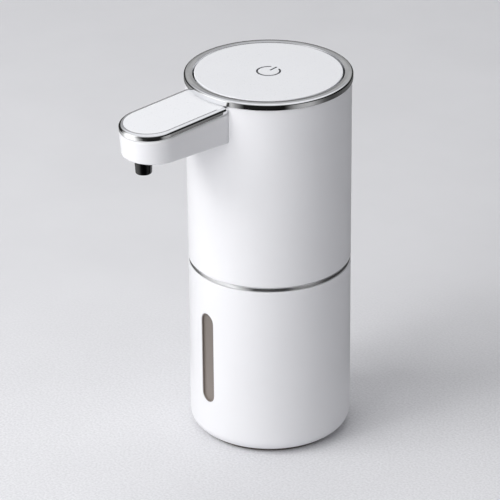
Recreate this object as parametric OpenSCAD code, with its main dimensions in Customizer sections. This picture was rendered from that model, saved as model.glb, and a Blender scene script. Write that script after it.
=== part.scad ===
/* [Body] */
// Outer diameter of the bottle and the head
body_d = 78; // [77:0.5:84]
// Height of the bottle sleeve, from its underside to its rim
bottle_h = 86.8; // [82:0.1:100]
// Height that the foot pad stands out below the sleeve
foot_h = 1.3; // [0.8:0.1:2.5]
// Height of the seam ring between bottle and head
seam_h = 2.3; // [1.8:0.1:4]
// Height of the head shell
head_h = 90.7; // [90:0.1:104]
// Wall of the sleeve and of the head shell
wall = 2.2; // [2:0.1:2.4]
// Wall of the soap tank inside the sleeve
tank_wall = 1.6; // [1.2:0.1:2]
// Rounding of the sleeve's lower edge
base_round = 6; // [4.5:0.5:8]
// Depth that the seam ring lies behind the wall's surface
seam_inset = 0.25; // [0.1:0.05:0.5]

/* [Level window] */
// Width of the window
window_w = 8.6; // [6:0.2:12]
// Height of the window
window_h = 47.4; // [30:0.2:54]
// Height of the window's middle above the ground
window_z = 46; // [42:0.1:50]
// Depth that the lens's rim lies behind the sleeve's surface
window_recess = 0.2; // [0.1:0.05:0.4]
// Width of the lens's rim
lens_rim_w = 0.5; // [0.4:0.05:0.8]
// Depth of the lens's field below its rim
lens_field = 0.9; // [0.5:0.05:1]

/* [Top] */
// Height of the bezel above the head shell
bezel_h = 3.3; // [3:0.1:4.2]
// Amount that the bezel stands out past the wall
bezel_proud = 0.6; // [0.2:0.1:0.8]
// Rounding of the bezel's outer upper edge
bezel_round = 0.9; // [0.5:0.1:1.4]
// Width of the bezel, seen from above
bezel_w = 4.3; // [4:0.1:4.8]
// Thickness of the top panel
panel_t = 2; // [1.8:0.1:2.2]
// Gap round the top panel
panel_gap = 0.4; // [0.3:0.05:0.5]
// Travel of the top panel when it is pressed
press_travel = 0.5; // [0.3:0.05:0.7]
// Diameter of the power mark's circle, at the middle of its line
mark_d = 10.8; // [9:0.2:16]
// Width of the power mark's line
mark_line = 0.7; // [0.6:0.1:1.2]
// Turn of the power mark on the panel, in degrees
mark_turn = 12; // [-20:1:20]

/* [Spout] */
// Reach of the spout, from the body's axis to the tip
spout_reach = 84.2; // [80:0.1:92]
// Width of the spout
spout_w = 30; // [29:0.5:32]
// Fall of the spout's top toward the tip, in degrees
spout_fall = 4.3; // [2:0.1:5]
// Height of the spout where it meets the body
spout_root_h = 18.4; // [17.6:0.1:19]
// Drop of the spout's top below the bezel
spout_drop = 0.1; // [0.1:0.05:0.8]
// Height of the chrome trim along the spout's edge
trim_h = 3.2; // [2.2:0.1:3.4]
// Width of the chrome trim, seen from above
trim_w = 2.1; // [1.6:0.1:2.6]
// Amount that the spout's tip falls back toward its lower edge
spout_draft = 0.8; // [0.4:0.1:1.6]
// Rounding of the spout's lower edge
spout_round = 1.2; // [0.8:0.1:3]
// Thickness of the spout's floor
spout_floor = 2; // [1.8:0.1:2.4]
// Distance of the nozzle's axis from the spout's tip
nozzle_back = 10; // [9.5:0.1:12]
// Diameter of the nozzle where it leaves the spout
nozzle_d = 8.6; // [7.6:0.1:9]
// Length of the nozzle below the spout
nozzle_drop = 8.4; // [5:0.1:9]
// Bore of the nozzle
nozzle_bore = 5.2; // [4:0.1:5.6]

/* [Pump and motor] */
// Diameter of the pump, as a share of the head's inner width
pump_share = 0.38; // [0.376:0.001:0.385]
// Diameter of the motor, as a share of the head's inner width
motor_share = 0.33; // [0.32:0.002:0.34]
// Height of the head that the motor leaves free
motor_spare = 59.9; // [59.7:0.1:61.5]
// Diameter of the motor shaft
shaft_d = 2; // [1.8:0.1:2.3]
// Tilt of the crank pin, which sets the pump's stroke, in degrees
crank_tilt = 6; // [4:0.5:6.5]
// Diameter of the crank pin
crank_d = 1.6; // [1.4:0.1:1.8]

/* [Tubes] */
// Outer diameter of the outlet tube
tube_d = 5; // [4.6:0.1:5.2]
// Bore of the outlet tube
tube_bore = 3; // [2.6:0.1:3.2]
// Bend radius of the outlet tube at its middle
tube_bend = 10; // [8:0.5:11]
// Outer diameter of the dip tube
dip_d = 6.2; // [5.8:0.1:7]
// Bore of the dip tube, which fits on its spigot
dip_bore = 4.4; // [4:0.1:4.6]

/* [Power and control] */
// Diameter of the cell, as a share of the head's inner width
cell_share = 0.25; // [0.242:0.001:0.252]
// Height of the head that the cell leaves free
cell_spare = 25.7; // [25.5:0.1:30]
// Width of the main board
board_w = 38; // [34:1:40]
// Height of the head that the main board leaves free
board_spare = 34.7; // [33.7:0.1:36.7]
// Thickness of the boards
board_t = 1.6; // [1.2:0.2:1.6]
// Height of the charging port above the seam
port_z = 22; // [18:0.5:28]
// Width of the rubber port flap
flap_w = 16.4; // [15:0.2:18]
// Height of the rubber port flap
flap_h = 8.4; // [8:0.1:9]

/* [Fits] */
// Gap between pieces that move past each other
move_gap = 0.3; // [0.25:0.05:0.4]
// Radial gap of pieces that are seated in one another
seat_gap = 0.05; // [0.02:0.01:0.1]
// Radial gap of a shaft in its bearing
run_gap = 0.04; // [0.02:0.01:0.08]

/* [Hidden] */
$fn = 96;

// Finishes
white = [0.93, 0.94, 0.95];
chrome = [0.78, 0.80, 0.83];
smoke = [0.55, 0.52, 0.50];
black = [0.09, 0.09, 0.10];
natural = [0.86, 0.87, 0.85];
silicone = [0.80, 0.82, 0.84];
steel = [0.66, 0.68, 0.70];
brass = [0.80, 0.66, 0.36];
copper = [0.72, 0.45, 0.28];
board_green = [0.10, 0.34, 0.22];
mark_grey = [0.48, 0.50, 0.53];
wrap_blue = [0.25, 0.45, 0.62];

// Heights of the main joints
body_r = body_d / 2;
inner_r = body_r - wall;
rim_z = foot_h + bottle_h;
head_z = rim_z + seam_h;
bezel_z = head_z + head_h;
top_z = bezel_z + bezel_h;
span = 4 * body_d;
inner_d = 2 * inner_r;
past = 1;

// Bottle
foot_inset = 5;
foot_r = body_r - foot_inset;
foot_seat = 0.8;
sleeve_inner_round = base_round - wall;
tank_gap = 0.15;
tank_r = inner_r - tank_gap;
tank_floor_z = foot_h + wall + tank_gap;
tank_bore_r = tank_r - tank_wall;
tank_rim_drop = 0.5;
tank_rim_z = rim_z - tank_rim_drop;
tank_floor_round = max(tank_rim_drop, sleeve_inner_round - tank_wall);
seam_gap = 0.2;

// Deck and plug neck
deck_t = 3;
deck_top_z = head_z + deck_t;
plug_r = tank_bore_r - move_gap;
plug_wall = 2.6;
plug_l = 9;
plug_z = rim_z - plug_l;
seal_section_r = 1;
seal_z = plug_z + plug_l / 2;
seal_gap = 0.06;
seal_r = tank_bore_r - seal_gap - seal_section_r;
groove_gap = 0.1;
deck_screw_margin = 3.5;
deck_screw_r = plug_r - plug_wall - deck_screw_margin;
deck_screw_grip = 9;
deck_screw_angles = [38, 142, 218, 322];
boss_h = 13;
boss_r = 2.8;
boss_cap = 2;
rib_half = 1;
pilot_r = 1.1;
screw_head_r = 2.4;
screw_head_h = 1.8;
spigot_r = dip_bore / 2 - seat_gap;
spigot_bore_r = 1.3;
spigot_drop = 7;
spigot_h = 3.4;
spigot_gap = 0.6;
vent_x = 15;
vent_y = 8;
vent_stem_r = 1.4;
vent_cap_r = 2.2;
vent_cap_h = 1;
vent_skirt_r = 4;
vent_skirt_h = 0.9;
strainer_clear = 0.8;
strainer_seat = 2.2;
strainer_wall = 1.4;
strainer_floor = 1;
strainer_h = 9;
strainer_slot_half = 0.6;
strainer_slot_h = 1.6;
strainer_r = dip_d / 2 + strainer_wall;
strainer_z = tank_floor_z + tank_wall + strainer_clear;
suction_wall = 1.3;

// Pump stack, from the cover at the bottom to the motor at the top
tube_r = tube_d / 2;
tube_margin = 3;
tube_y = inner_r - tube_r - tube_margin;
tube_pump_gap = 1.6;
pump_r = pump_share * inner_d / 2;
pump_y = tube_y - tube_r - tube_pump_gap - pump_r;
pump_foot_h = 7.6;
pump_foot_r = 3;
pump_foot_in = 0.8;
cover_z = deck_top_z + pump_foot_h;
cover_h = 7;
valve_z = cover_z + cover_h;
valve_t = 1.4;
valve_hole_r = 0.8;
diaphragm_z = valve_z + valve_t;
flange_t = 1.4;
housing_z = diaphragm_z + flange_t;
housing_h = 15;
housing_wall = 2.1;
housing_top = 2;
pillar_r = 2.2;
chamber_floor = 3.4;
inlet_share = 0.54;
outlet_ring_in = 0.81;
outlet_ring_out = 1.35;
outlet_half = 3.2;
outlet_floor = 3;
outlet_bore_r = 0.9;
outlet_channel_h = 4.4;
motor_z = housing_z + housing_h;
motor_l = head_h - motor_spare;
motor_r = motor_share * inner_d / 2;
bell_h = 3.8;
can_h = motor_l - bell_h;
can_wall = 0.8;
neck_wall = 0.8;
neck_h = 1.8;
magnet_t = 2;
magnet_foot = 4;
magnet_top = 3;
magnet_gap_half = 2.6;
bell_cap = 1;
motor_top_z = motor_z + motor_l;
terminal_h = 3.4;
terminal_x = 3.5;
terminal_half_t = 0.3;
terminal_half_w = 1.4;
shaft_r = shaft_d / 2;
shaft_seat = 2;
shaft_end_gap = 1.4;
bush_r = 2.4;
bush_clear = 1.2;
motor_screw_r = 8;
motor_head_r = 1.9;
motor_head_h = 1.2;
motor_screw_grip = 1.6;
air_gap = 0.7;
core_end = 6;
core_slot_half = 0.7;
core_slot_out = 2;
core_slot_stop = 0.5;
commutator_r = 3;
commutator_end = 1;
pump_screw_margin = 2;
pump_screw_place_r = pump_r - pump_screw_margin;
pump_screw_grip = 8;
pump_screw_angles = [90, 210, 330];
cup_angles = [30, 150, 270];
cup_share = 0.53;
cup_place_r = cup_share * pump_r;
cup_reach = 0.257;
cup_r = cup_reach * pump_r;
cup_h = 1.7;
cup_wall = 0.8;
stem_r = 1;
stem_button_drop = 0.4;
stem_button_rim = 0.7;
stem_button_h = 0.8;
pivot_rise = 0.9;
pivot_z = diaphragm_z + pivot_rise;
eccentric_r = 4.2;
eccentric_h = 5.5;
eccentric_z = motor_z - housing_top - motor_head_h - eccentric_h;
crank_from = 1.6;
crank_seat = 1.8;
plate_from = 3.9;
plate_t = 1.3;
hub_r = 3;
hub_from = 1.2;
hub_bore_from = 1.55;
hub_step = 0.2;
arm_half = 1.6;
arm_hole_gap = 0.7;
arm_hole_r = stem_r + arm_hole_gap;
eye_rim = 1.1;
lead_r = 0.7;
lead_rise = 1.7;

// Outlet tube route
outlet_block_h = 6;
outlet_spigot_h = 5;

// Spout
spout_z = bezel_z - spout_drop;
under_z = spout_z - spout_root_h;
tip_y = spout_reach - spout_w / 2;
floor_z = under_z + spout_floor;
wall_ledge = 1.1;
cavity_inset = trim_w + wall_ledge;
trim_proud = 0.15;
nozzle_y = spout_reach - nozzle_back;
nozzle_r = nozzle_d / 2;
nozzle_taper = 0.5;
nozzle_edge = 0.6;
nozzle_flange_w = 1.8;
nozzle_flange_r = nozzle_r + nozzle_flange_w;
nozzle_flange_t = 1.4;
nozzle_seal_t = 0.8;
nozzle_seal_in = 0.8;
screen_drop = 2;
screen_t = 0.3;
elbow_z = floor_z + nozzle_flange_t + nozzle_seal_t;
tube_rise = 4.9;
tube_z = floor_z + tube_rise;
elbow_cap = 0.8;
elbow_top_z = tube_z + tube_r + elbow_cap;
barb_l = 6;
barb_in = 3;
loft_sheet = 0.01;
loft_faces = 48;
loft_step = 22.5;
spout_screw_margin = 1.6;
spout_screw_x = spout_w / 2 - cavity_inset - spout_screw_margin;
spout_screw_rise = 7.6;
spout_screw_z = under_z + spout_screw_rise;
spout_screw_grip = 5;
spout_boss_r = 2.6;
spout_boss_l = 8;
spout_pad_l = 3.4;
spout_pad_y = inner_r - spout_pad_l;
port_half = 6.9;
sensor_y = (body_r + nozzle_y) / 2;
sensor_w = 14;
sensor_d = 7;
sensor_recess = 0.1;
infrared_h = 1;
infrared_r = 1.5;
infrared_x = 3.4;
sensor_board_gap = 0.1;
sensor_board_z = floor_z + infrared_h + sensor_board_gap;
sensor_board_t = 1;
sensor_board_half_w = 10;
sensor_board_half_d = 5;
sensor_post_x = 8.2;
sensor_post_r = 1.5;
ribbon_foot = 6;
ribbon_t = 0.3;
ribbon_x = 4.4;
ribbon_w = 2.4;

// Cell, cradle and board, stacked behind the pump
cradle_wall = 1.6;
cell_gap = 0.2;
cell_r = cell_share * inner_d / 2;
cell_l = head_h - cell_spare;
cradle_bore_r = cell_r + cell_gap;
cradle_r = cradle_bore_r + cradle_wall;
cradle_floor = 2;
cradle_foot_h = 14;
cradle_pump_gap = 0.9;
clip_h = 10;
clip_drop = 6;
clip_open = 4;
cell_y = pump_r - pump_y + cradle_pump_gap + cradle_r;
tab_t = 0.3;
tab_r = 5;
tab_half = 2.4;
tab_foot = 4;
tab_top = 5;
tab_slot_gap = 0.6;
tab_slot_h = 1;
cell_z = deck_top_z + cradle_floor + tab_t;
cell_top_z = cell_z + cell_l;
lead_z = max(motor_top_z + terminal_h, cell_top_z) + lead_rise;
spine_y = cell_y + cell_r;
spine_t = 2;
post_l = 2.2;
post_r = 2.4;
board_y = spine_y + spine_t + post_l;
board_rise = 6.6;
board_z = deck_top_z + board_rise;
board_h = head_h - board_spare;
board_top_z = board_z + board_h;
board_screw_margin = 3.5;
board_screw_x = board_w / 2 - board_screw_margin;
board_screw_stop = 0.5;
board_head_r = 2;
board_head_h = 1.4;
wide_chip_w = 7;
wide_chip_t = 1.2;
small_chip_w = 5;
small_chip_h = 4;
small_chip_t = 1.5;
coil_w = 6;
coil_t = 3;

// Charging port
usb_w = 8.94;
usb_h = 3.16;
usb_gap = 0.4;
usb_sheet = 0.3;
usb_l = inner_r - usb_gap - board_y - board_t;
usb_hollow = 0.69;
usb_depth = usb_hollow * usb_l;
tongue_half_w = 3.3;
tongue_half_t = 0.35;
tongue_back = 1;
port_centre_z = head_z + port_z;
port_gap = 0.5;
flap_gap = 0.4;
flap_depth = 1.5;
flap_back_r = body_r - flap_depth + move_gap;
flap_bead_r = 0.5;
flap_bead_l = 9;
flap_plug_gap_w = 0.7;
flap_plug_gap_h = 0.9;
flap_plug_back = 0.1;
flap_plug_root = 0.5;
flap_axis_y = flap_back_r + flap_bead_r;
flap_axis_z = port_centre_z - flap_h / 2 + flap_bead_r;

// Top
bezel_r = body_r + bezel_proud;
bezel_bore_r = bezel_r - bezel_w;
panel_r = bezel_bore_r - panel_gap;
skirt_h = 6;
skirt_r = inner_r - seat_gap;
skirt_wall = 1.5;
ledge_t = 1.5;
ledge_w = 1.6;
ledge_r = panel_r - ledge_w;
panel_seal_out = 0.3;
panel_seal_in = 0.2;
frame_z = bezel_z - skirt_h;
frame_t = 2;
frame_wall = 1.5;
frame_post_r = 2.4;
frame_hole_half = 4;
frame_r = skirt_r - skirt_wall - seat_gap;
hook_place_r = 24;
hook_angles = [90, 210, 330];
hook_half_t = 1;
hook_half_w = 3;
hook_h = 1.4;
hook_out = 2.4;
hook_gap = 0.5;
frame_post_h = 2;
switch_board_z = frame_z - frame_post_h - board_t;
switch_board_half_w = 14;
switch_board_half_d = 8;
switch_z = switch_board_z + board_t;
switch_h = 3.5;
switch_w = 6;
switch_floor = 1;
switch_rest_gap = 0.2;
stem_pad_h = 2.6;
stem_pad_r = 2.6;
stem_top_z = top_z - panel_t - stem_pad_h;
switch_stem_r = 1.7;
switch_screw_x = 10;
mark_depth = 0.3;
mark_bar_from = 0.2;
mark_bar_l = 0.97;
mark_gap_angle = 23;
root = 0.5;

// Cylinder between two heights
module disc(r, z0, z1) {
  translate([0, 0, z0])
    cylinder(r = r, h = z1 - z0);
}

// Tube between two heights
module ring(r, bore, z0, z1) {
  difference() {
    disc(r, z0, z1);
    disc(bore, z0 - past, z1 + past);
  }
}

// Block between two corners
module block(x, y, z) {
  translate([x[0], y[0], z[0]])
    cube([x[1] - x[0], y[1] - y[0], z[1] - z[0]]);
}

// Cylinder along Y, between two distances from the body's axis toward the spout
module rod_forward(r, x, z, y0, y1) {
  translate([x, -y0, z])
    rotate([90, 0, 0])
      cylinder(r = r, h = y1 - y0);
}

// Flat outline with round ends, its length along the second axis
module capsule(w, h) {
  square([w, h - w], center = true);
  for (side = [-1, 1])
    translate([0, side * (h - w) / 2])
      circle(d = w);
}

// Prism of a capsule toward the spout, its length upright
module front_capsule(w, h, z) {
  translate([0, 0, z])
    rotate([90, 0, 0])
      linear_extrude(body_r + past)
        capsule(w, h);
}

// Prism of a level capsule toward the back
module back_capsule(w, h, z) {
  translate([0, 0, z])
    rotate([90, 0, 180])
      linear_extrude(body_r + past)
        rotate(90)
          capsule(h, w);
}

// Section of a cup with a rounded lower edge
module cup_section(r, z0, z1, round) {
  translate([0, z0])
    square([r - round, z1 - z0]);
  translate([0, z0 + round])
    square([r, z1 - z0 - round]);
  translate([r - round, z0 + round])
    circle(r = round);
}

module cup(r, z0, z1, round) {
  rotate_extrude()
    cup_section(r, z0, z1, round);
}

// Screw with a round head below and its shank upward
module screw_up(z_head, shank_r, length) {
  disc(screw_head_r, z_head - screw_head_h, z_head);
  disc(shank_r, z_head, z_head + length);
}

module at_angles(angles, r) {
  for (angle = angles)
    rotate(angle)
      translate([r, 0, 0])
        children();
}

module at_pump() {
  translate([0, -pump_y, 0])
    children();
}

// Frame of the tilted crank pin, with its origin at the pump's pivot
module at_crank() {
  translate([0, -pump_y, pivot_z])
    rotate([crank_tilt, 0, 0])
      children();
}

// Plan of the spout, from the body's axis to the tip
module spout_plan(inset) {
  half = spout_w / 2 - inset;
  translate([-half, -tip_y])
    square([2 * half, tip_y]);
  translate([0, -tip_y])
    circle(r = half);
}

// Half-space under the sloping top of the spout, at a depth below it
module under_top(depth) {
  translate([0, -body_r, spout_z - depth])
    rotate([spout_fall, 0, 0])
      translate([-span / 2, -span / 2, -span])
        cube([span, span, span]);
}

// Layer of the spout's plan between two depths below its top
module spout_layer(inset, depth0, depth1) {
  difference() {
    intersection() {
      translate([0, 0, under_z])
        linear_extrude(2 * spout_root_h)
          spout_plan(inset);
      under_top(depth0);
    }
    under_top(depth1);
    disc(body_r + seat_gap, under_z - past, top_z + past);
    disc(bezel_r + seat_gap, bezel_z - seat_gap, top_z + past);
  }
}

// Lower unit: sleeve, tank, lens and foot

module bottle_sleeve() {
  color(white)
    difference() {
      cup(body_r, foot_h, rim_z, base_round);
      cup(inner_r, foot_h + wall, rim_z + past, sleeve_inner_round);
      disc(foot_r + seat_gap, foot_h - past, foot_h + foot_seat);
      front_capsule(window_w, window_h, window_z);
    }
}

module soap_tank() {
  color(smoke)
    difference() {
      cup(tank_r, tank_floor_z, tank_rim_z, sleeve_inner_round);
      cup(tank_bore_r, tank_floor_z + tank_wall, tank_rim_z + past, tank_floor_round);
    }
}

module window_lens() {
  z0 = window_z - window_h;
  z1 = window_z + window_h;
  rim_r = body_r - window_recess;
  w = window_w - 2 * seat_gap;
  h = window_h - 2 * seat_gap;
  color(smoke)
    difference() {
      intersection() {
        ring(rim_r, tank_r, z0, z1);
        front_capsule(w, h, window_z);
      }
      intersection() {
        ring(body_r, rim_r - lens_field, z0, z1);
        front_capsule(w - 2 * lens_rim_w, h - 2 * lens_rim_w, window_z);
      }
    }
}

module foot_pad() {
  color(black)
    disc(foot_r, 0, foot_h + foot_seat);
}

// Head: seam ring and shell

module seam_ring() {
  color(chrome)
    ring(body_r - seam_inset, plug_r + seat_gap, rim_z + seam_gap, head_z);
}

module shell_boss(angle) {
  reach = inner_r - deck_screw_r + wall / 2;
  rotate(angle)
    translate([deck_screw_r, 0, 0]) {
      disc(boss_r, deck_top_z, deck_top_z + boss_h);
      block([0, reach], [-rib_half, rib_half], [deck_top_z, deck_top_z + boss_h]);
    }
}

module head_shell() {
  color(white)
    difference() {
      union() {
        ring(body_r, inner_r, head_z, bezel_z);
        for (angle = deck_screw_angles)
          shell_boss(angle);
        intersection() {
          disc(inner_r + wall / 2, head_z, bezel_z);
          for (side = [-1, 1])
            rod_forward(boss_r, side * spout_screw_x, spout_screw_z, spout_pad_y, body_r);
        }
      }
      at_angles(deck_screw_angles, deck_screw_r)
        disc(pilot_r + seat_gap, deck_top_z - past, deck_top_z + boss_h - boss_cap);
      for (side = [-1, 1])
        rod_forward(pilot_r + seat_gap, side * spout_screw_x, spout_screw_z, spout_pad_y - past,
          body_r + past);
      block([-port_half, port_half], [-body_r - past, -spout_pad_y], [floor_z, elbow_top_z]);
      back_capsule(usb_w + 2 * port_gap, usb_h + 2 * port_gap, port_centre_z);
      difference() {
        back_capsule(flap_w + 2 * flap_gap, flap_h + 2 * flap_gap, port_centre_z);
        disc(body_r - flap_depth, head_z, bezel_z);
      }
    }
}

// Neck: deck, seal, valve and dip tube

module pump_deck() {
  groove_half = seal_section_r + groove_gap;
  color(natural)
    difference() {
      union() {
        disc(inner_r - seat_gap, head_z, deck_top_z);
        ring(plug_r, plug_r - plug_wall, plug_z, head_z);
        at_pump()
          disc(spigot_r, head_z - spigot_drop, cover_z - spigot_h - spigot_gap);
      }
      ring(tank_bore_r, seal_r - seal_section_r - seat_gap, seal_z - groove_half, seal_z + groove_half);
      at_angles(deck_screw_angles, deck_screw_r)
        disc(pilot_r + seat_gap, head_z - past, deck_top_z + past);
      at_pump() {
        disc(spigot_bore_r, plug_z, cover_z);
        at_angles(pump_screw_angles, pump_screw_place_r)
          disc(pilot_r + seat_gap, head_z - past, deck_top_z + past);
      }
      translate([vent_x, vent_y])
        disc(vent_stem_r + 2 * seat_gap, head_z - past, deck_top_z + past);
    }
}

module neck_seal() {
  color(black)
    rotate_extrude()
      translate([seal_r, seal_z])
        circle(r = seal_section_r);
}

module deck_screws() {
  color(steel)
    at_angles(deck_screw_angles, deck_screw_r)
      screw_up(head_z, pilot_r, deck_t + deck_screw_grip);
}

module vent_valve() {
  color(silicone)
    translate([vent_x, vent_y]) {
      disc(vent_stem_r, head_z, deck_top_z + vent_cap_h / 2);
      disc(vent_cap_r, deck_top_z, deck_top_z + vent_cap_h);
      disc(vent_skirt_r, head_z - vent_skirt_h, head_z);
    }
}

module dip_tube() {
  color(natural)
    at_pump()
      ring(dip_d / 2, dip_bore / 2, strainer_z + strainer_seat, head_z);
}

module strainer() {
  color(white)
    at_pump()
      difference() {
        disc(strainer_r, strainer_z, strainer_z + strainer_h);
        disc(dip_d / 2 + seat_gap, strainer_z + strainer_seat, strainer_z + strainer_h + past);
        disc(dip_bore / 2, strainer_z + strainer_floor, strainer_z + strainer_seat + past);
        for (angle = [0, 60, 120])
          rotate(angle)
            block([-dip_d, dip_d], [-strainer_slot_half, strainer_slot_half],
              [strainer_z - past, strainer_z + strainer_slot_h]);
      }
}

module suction_tube() {
  color(silicone)
    at_pump()
      ring(spigot_r + seat_gap + suction_wall, spigot_r + seat_gap, deck_top_z, cover_z);
}

// Foam pump

module pump_feet() {
  color(black)
    at_pump()
      at_angles(pump_screw_angles, pump_screw_place_r - pump_foot_in)
        difference() {
          disc(pump_foot_r, deck_top_z, cover_z);
          translate([pump_foot_in, 0, 0])
            disc(pilot_r + seat_gap, deck_top_z - past, cover_z + past);
        }
}

module pump_cover() {
  spigot = tube_bore / 2 - seat_gap;
  spigot_top_z = cover_z + outlet_block_h + outlet_spigot_h;
  chamber_z = cover_z + chamber_floor;
  color(natural)
    difference() {
      union() {
        at_pump() {
          disc(pump_r, cover_z, valve_z);
          disc(spigot_r, cover_z - spigot_h, cover_z);
        }
        block([-outlet_half, outlet_half], [-tube_y - tube_r, -pump_y],
          [cover_z, cover_z + outlet_block_h]);
        translate([0, -tube_y, 0])
          disc(spigot, cover_z + outlet_floor, spigot_top_z);
      }
      at_pump() {
        disc(spigot_bore_r, cover_z - spigot_h - past, chamber_z + groove_gap);
        disc(inlet_share * cup_place_r, chamber_z, valve_z + past);
        ring(outlet_ring_out * cup_place_r, outlet_ring_in * cup_place_r, chamber_z, valve_z + past);
        at_angles(pump_screw_angles, pump_screw_place_r)
          disc(pilot_r + seat_gap, cover_z - past, valve_z + past);
      }
      translate([0, -tube_y, 0])
        disc(outlet_bore_r, cover_z + outlet_floor, spigot_top_z + past);
      rod_forward(outlet_bore_r, 0, cover_z + outlet_channel_h, pump_y + cup_place_r, tube_y);
    }
}

module valve_plate() {
  color(silicone)
    at_pump()
      difference() {
        disc(pump_r, valve_z, diaphragm_z);
        at_angles(cup_angles, cup_place_r)
          disc(valve_hole_r, valve_z - past, diaphragm_z + past);
        at_angles(pump_screw_angles, pump_screw_place_r)
          disc(pilot_r + seat_gap, valve_z - past, diaphragm_z + past);
      }
}

module diaphragm() {
  cup_top_z = housing_z + cup_h;
  button_z = eccentric_z - stem_button_drop;
  color(black)
    at_pump()
      difference() {
        union() {
          disc(pump_r, diaphragm_z, housing_z);
          at_angles(cup_angles, cup_place_r) {
            disc(cup_r, housing_z, cup_top_z);
            disc(stem_r, cup_top_z, button_z);
            disc(stem_r + stem_button_rim, button_z, button_z + stem_button_h);
          }
        }
        at_angles(cup_angles, cup_place_r)
          disc(cup_r - cup_wall, diaphragm_z - past, cup_top_z - cup_wall);
        at_angles(pump_screw_angles, pump_screw_place_r)
          disc(pilot_r + seat_gap, diaphragm_z - past, housing_z + past);
      }
}

module pump_housing() {
  pillar_h = housing_h - housing_top;
  color(natural)
    at_pump()
      difference() {
        union() {
          ring(pump_r, pump_r - housing_wall, housing_z, motor_z);
          disc(pump_r - housing_wall / 2, motor_z - housing_top, motor_z);
          intersection() {
            disc(pump_r, housing_z, motor_z);
            at_angles(pump_screw_angles, pump_screw_place_r)
              disc(pillar_r, housing_z, housing_z + pillar_h + root);
          }
        }
        disc(bush_r + bush_clear, motor_z - housing_top - past, motor_z + past);
        at_angles([0, 180], motor_screw_r)
          disc(pilot_r + seat_gap, motor_z - housing_top - past, motor_z + past);
        at_angles(pump_screw_angles, pump_screw_place_r)
          disc(pilot_r + seat_gap, housing_z - past, housing_z + pump_screw_grip + past);
      }
}

module pump_screws() {
  color(steel)
    at_pump()
      at_angles(pump_screw_angles, pump_screw_place_r)
        screw_up(head_z, pilot_r, housing_z + pump_screw_grip - head_z);
}

// Motor

module motor_can() {
  color(steel)
    at_pump()
      difference() {
        union() {
          disc(motor_r, motor_z, motor_z + can_h);
          disc(bush_r + neck_wall, motor_z - neck_h, motor_z);
        }
        disc(motor_r - can_wall, motor_z + can_wall, motor_z + can_h + past);
        disc(bush_r + seat_gap, motor_z - neck_h - past, motor_z + can_wall + past);
        at_angles([0, 180], motor_screw_r)
          disc(pilot_r + seat_gap, motor_z - past, motor_z + can_wall + past);
      }
}

module motor_bush() {
  color(brass)
    at_pump()
      ring(bush_r, shaft_r + run_gap, motor_z - neck_h, motor_z + can_wall);
}

module motor_magnets() {
  magnet_r = motor_r - can_wall - seat_gap;
  color(black)
    at_pump()
      difference() {
        ring(magnet_r, magnet_r - magnet_t, motor_z + magnet_foot, motor_z + can_h - magnet_top);
        block([-magnet_gap_half, magnet_gap_half], [-motor_r, motor_r], [motor_z, motor_z + can_h]);
      }
}

module motor_end_bell() {
  color(white)
    at_pump()
      difference() {
        disc(motor_r, motor_z + can_h, motor_top_z);
        disc(shaft_r + run_gap, motor_z + can_h - past, motor_top_z - bell_cap);
      }
}

module motor_terminals() {
  color(brass)
    at_pump()
      for (side = [-1, 1])
        block([side * terminal_x - terminal_half_t, side * terminal_x + terminal_half_t],
          [-terminal_half_w, terminal_half_w], [motor_top_z, motor_top_z + terminal_h]);
}

module motor_screws() {
  seat_z = motor_z - housing_top;
  color(steel)
    at_pump()
      at_angles([0, 180], motor_screw_r) {
        disc(motor_head_r, seat_z - motor_head_h, seat_z);
        disc(pilot_r, seat_z, motor_z + motor_screw_grip);
      }
}

module motor_leads() {
  top_y = board_y + board_t / 2;
  color(black)
    for (side = [-1, 1])
      translate([side * terminal_x, 0, 0]) {
        translate([0, -pump_y, 0])
          disc(lead_r, motor_top_z + terminal_h, lead_z + lead_r);
        rod_forward(lead_r, 0, lead_z, -top_y - lead_r, pump_y + lead_r);
        translate([0, top_y, 0])
          disc(lead_r, board_top_z, lead_z + lead_r);
      }
}

// Rotor: armature, shaft, eccentric and crank pin

module armature() {
  core_top_z = motor_z + can_h - core_end;
  core_r = motor_r - can_wall - magnet_t - air_gap;
  color(copper)
    at_pump()
      difference() {
        union() {
          disc(core_r, motor_z + core_end, core_top_z);
          disc(commutator_r, core_top_z, motor_z + can_h - commutator_end);
        }
        disc(shaft_r, motor_z, motor_top_z);
        at_angles(cup_angles, core_r)
          block([-core_r / 2, core_slot_out], [-core_slot_half, core_slot_half],
            [motor_z + core_end - past, core_top_z - core_slot_stop]);
      }
}

module motor_shaft() {
  color(steel)
    at_pump()
      disc(shaft_r, eccentric_z + shaft_seat, motor_top_z - shaft_end_gap);
}

module eccentric() {
  color(natural)
    difference() {
      at_pump()
        disc(eccentric_r, eccentric_z, eccentric_z + eccentric_h);
      at_pump()
        disc(shaft_r, eccentric_z + shaft_seat, eccentric_z + eccentric_h + past);
      at_crank()
        disc(crank_d / 2, crank_from, eccentric_z + crank_seat - pivot_z);
    }
}

module crank_pin() {
  color(steel)
    at_crank()
      disc(crank_d / 2, crank_from, eccentric_z + crank_seat - pivot_z);
}

// Spider of the wobble plate: a hub disc and an arm with an eye for each diaphragm stem
module spider_plan() {
  difference() {
    union() {
      circle(r = hub_r);
      for (angle = cup_angles)
        rotate(angle) {
          translate([0, -arm_half])
            square([cup_place_r, 2 * arm_half]);
          translate([cup_place_r, 0])
            circle(r = arm_hole_r + eye_rim);
        }
    }
    for (angle = cup_angles)
      rotate(angle)
        translate([cup_place_r, 0])
          circle(r = arm_hole_r);
  }
}

module wobble_plate() {
  color(white)
    at_crank()
      difference() {
        union() {
          disc(hub_r - hub_step, hub_from, plate_from + plate_t / 2);
          translate([0, 0, plate_from])
            linear_extrude(plate_t)
              spider_plan();
        }
        disc(crank_d / 2 + run_gap, hub_bore_from, plate_from + plate_t + past);
      }
}

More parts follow.
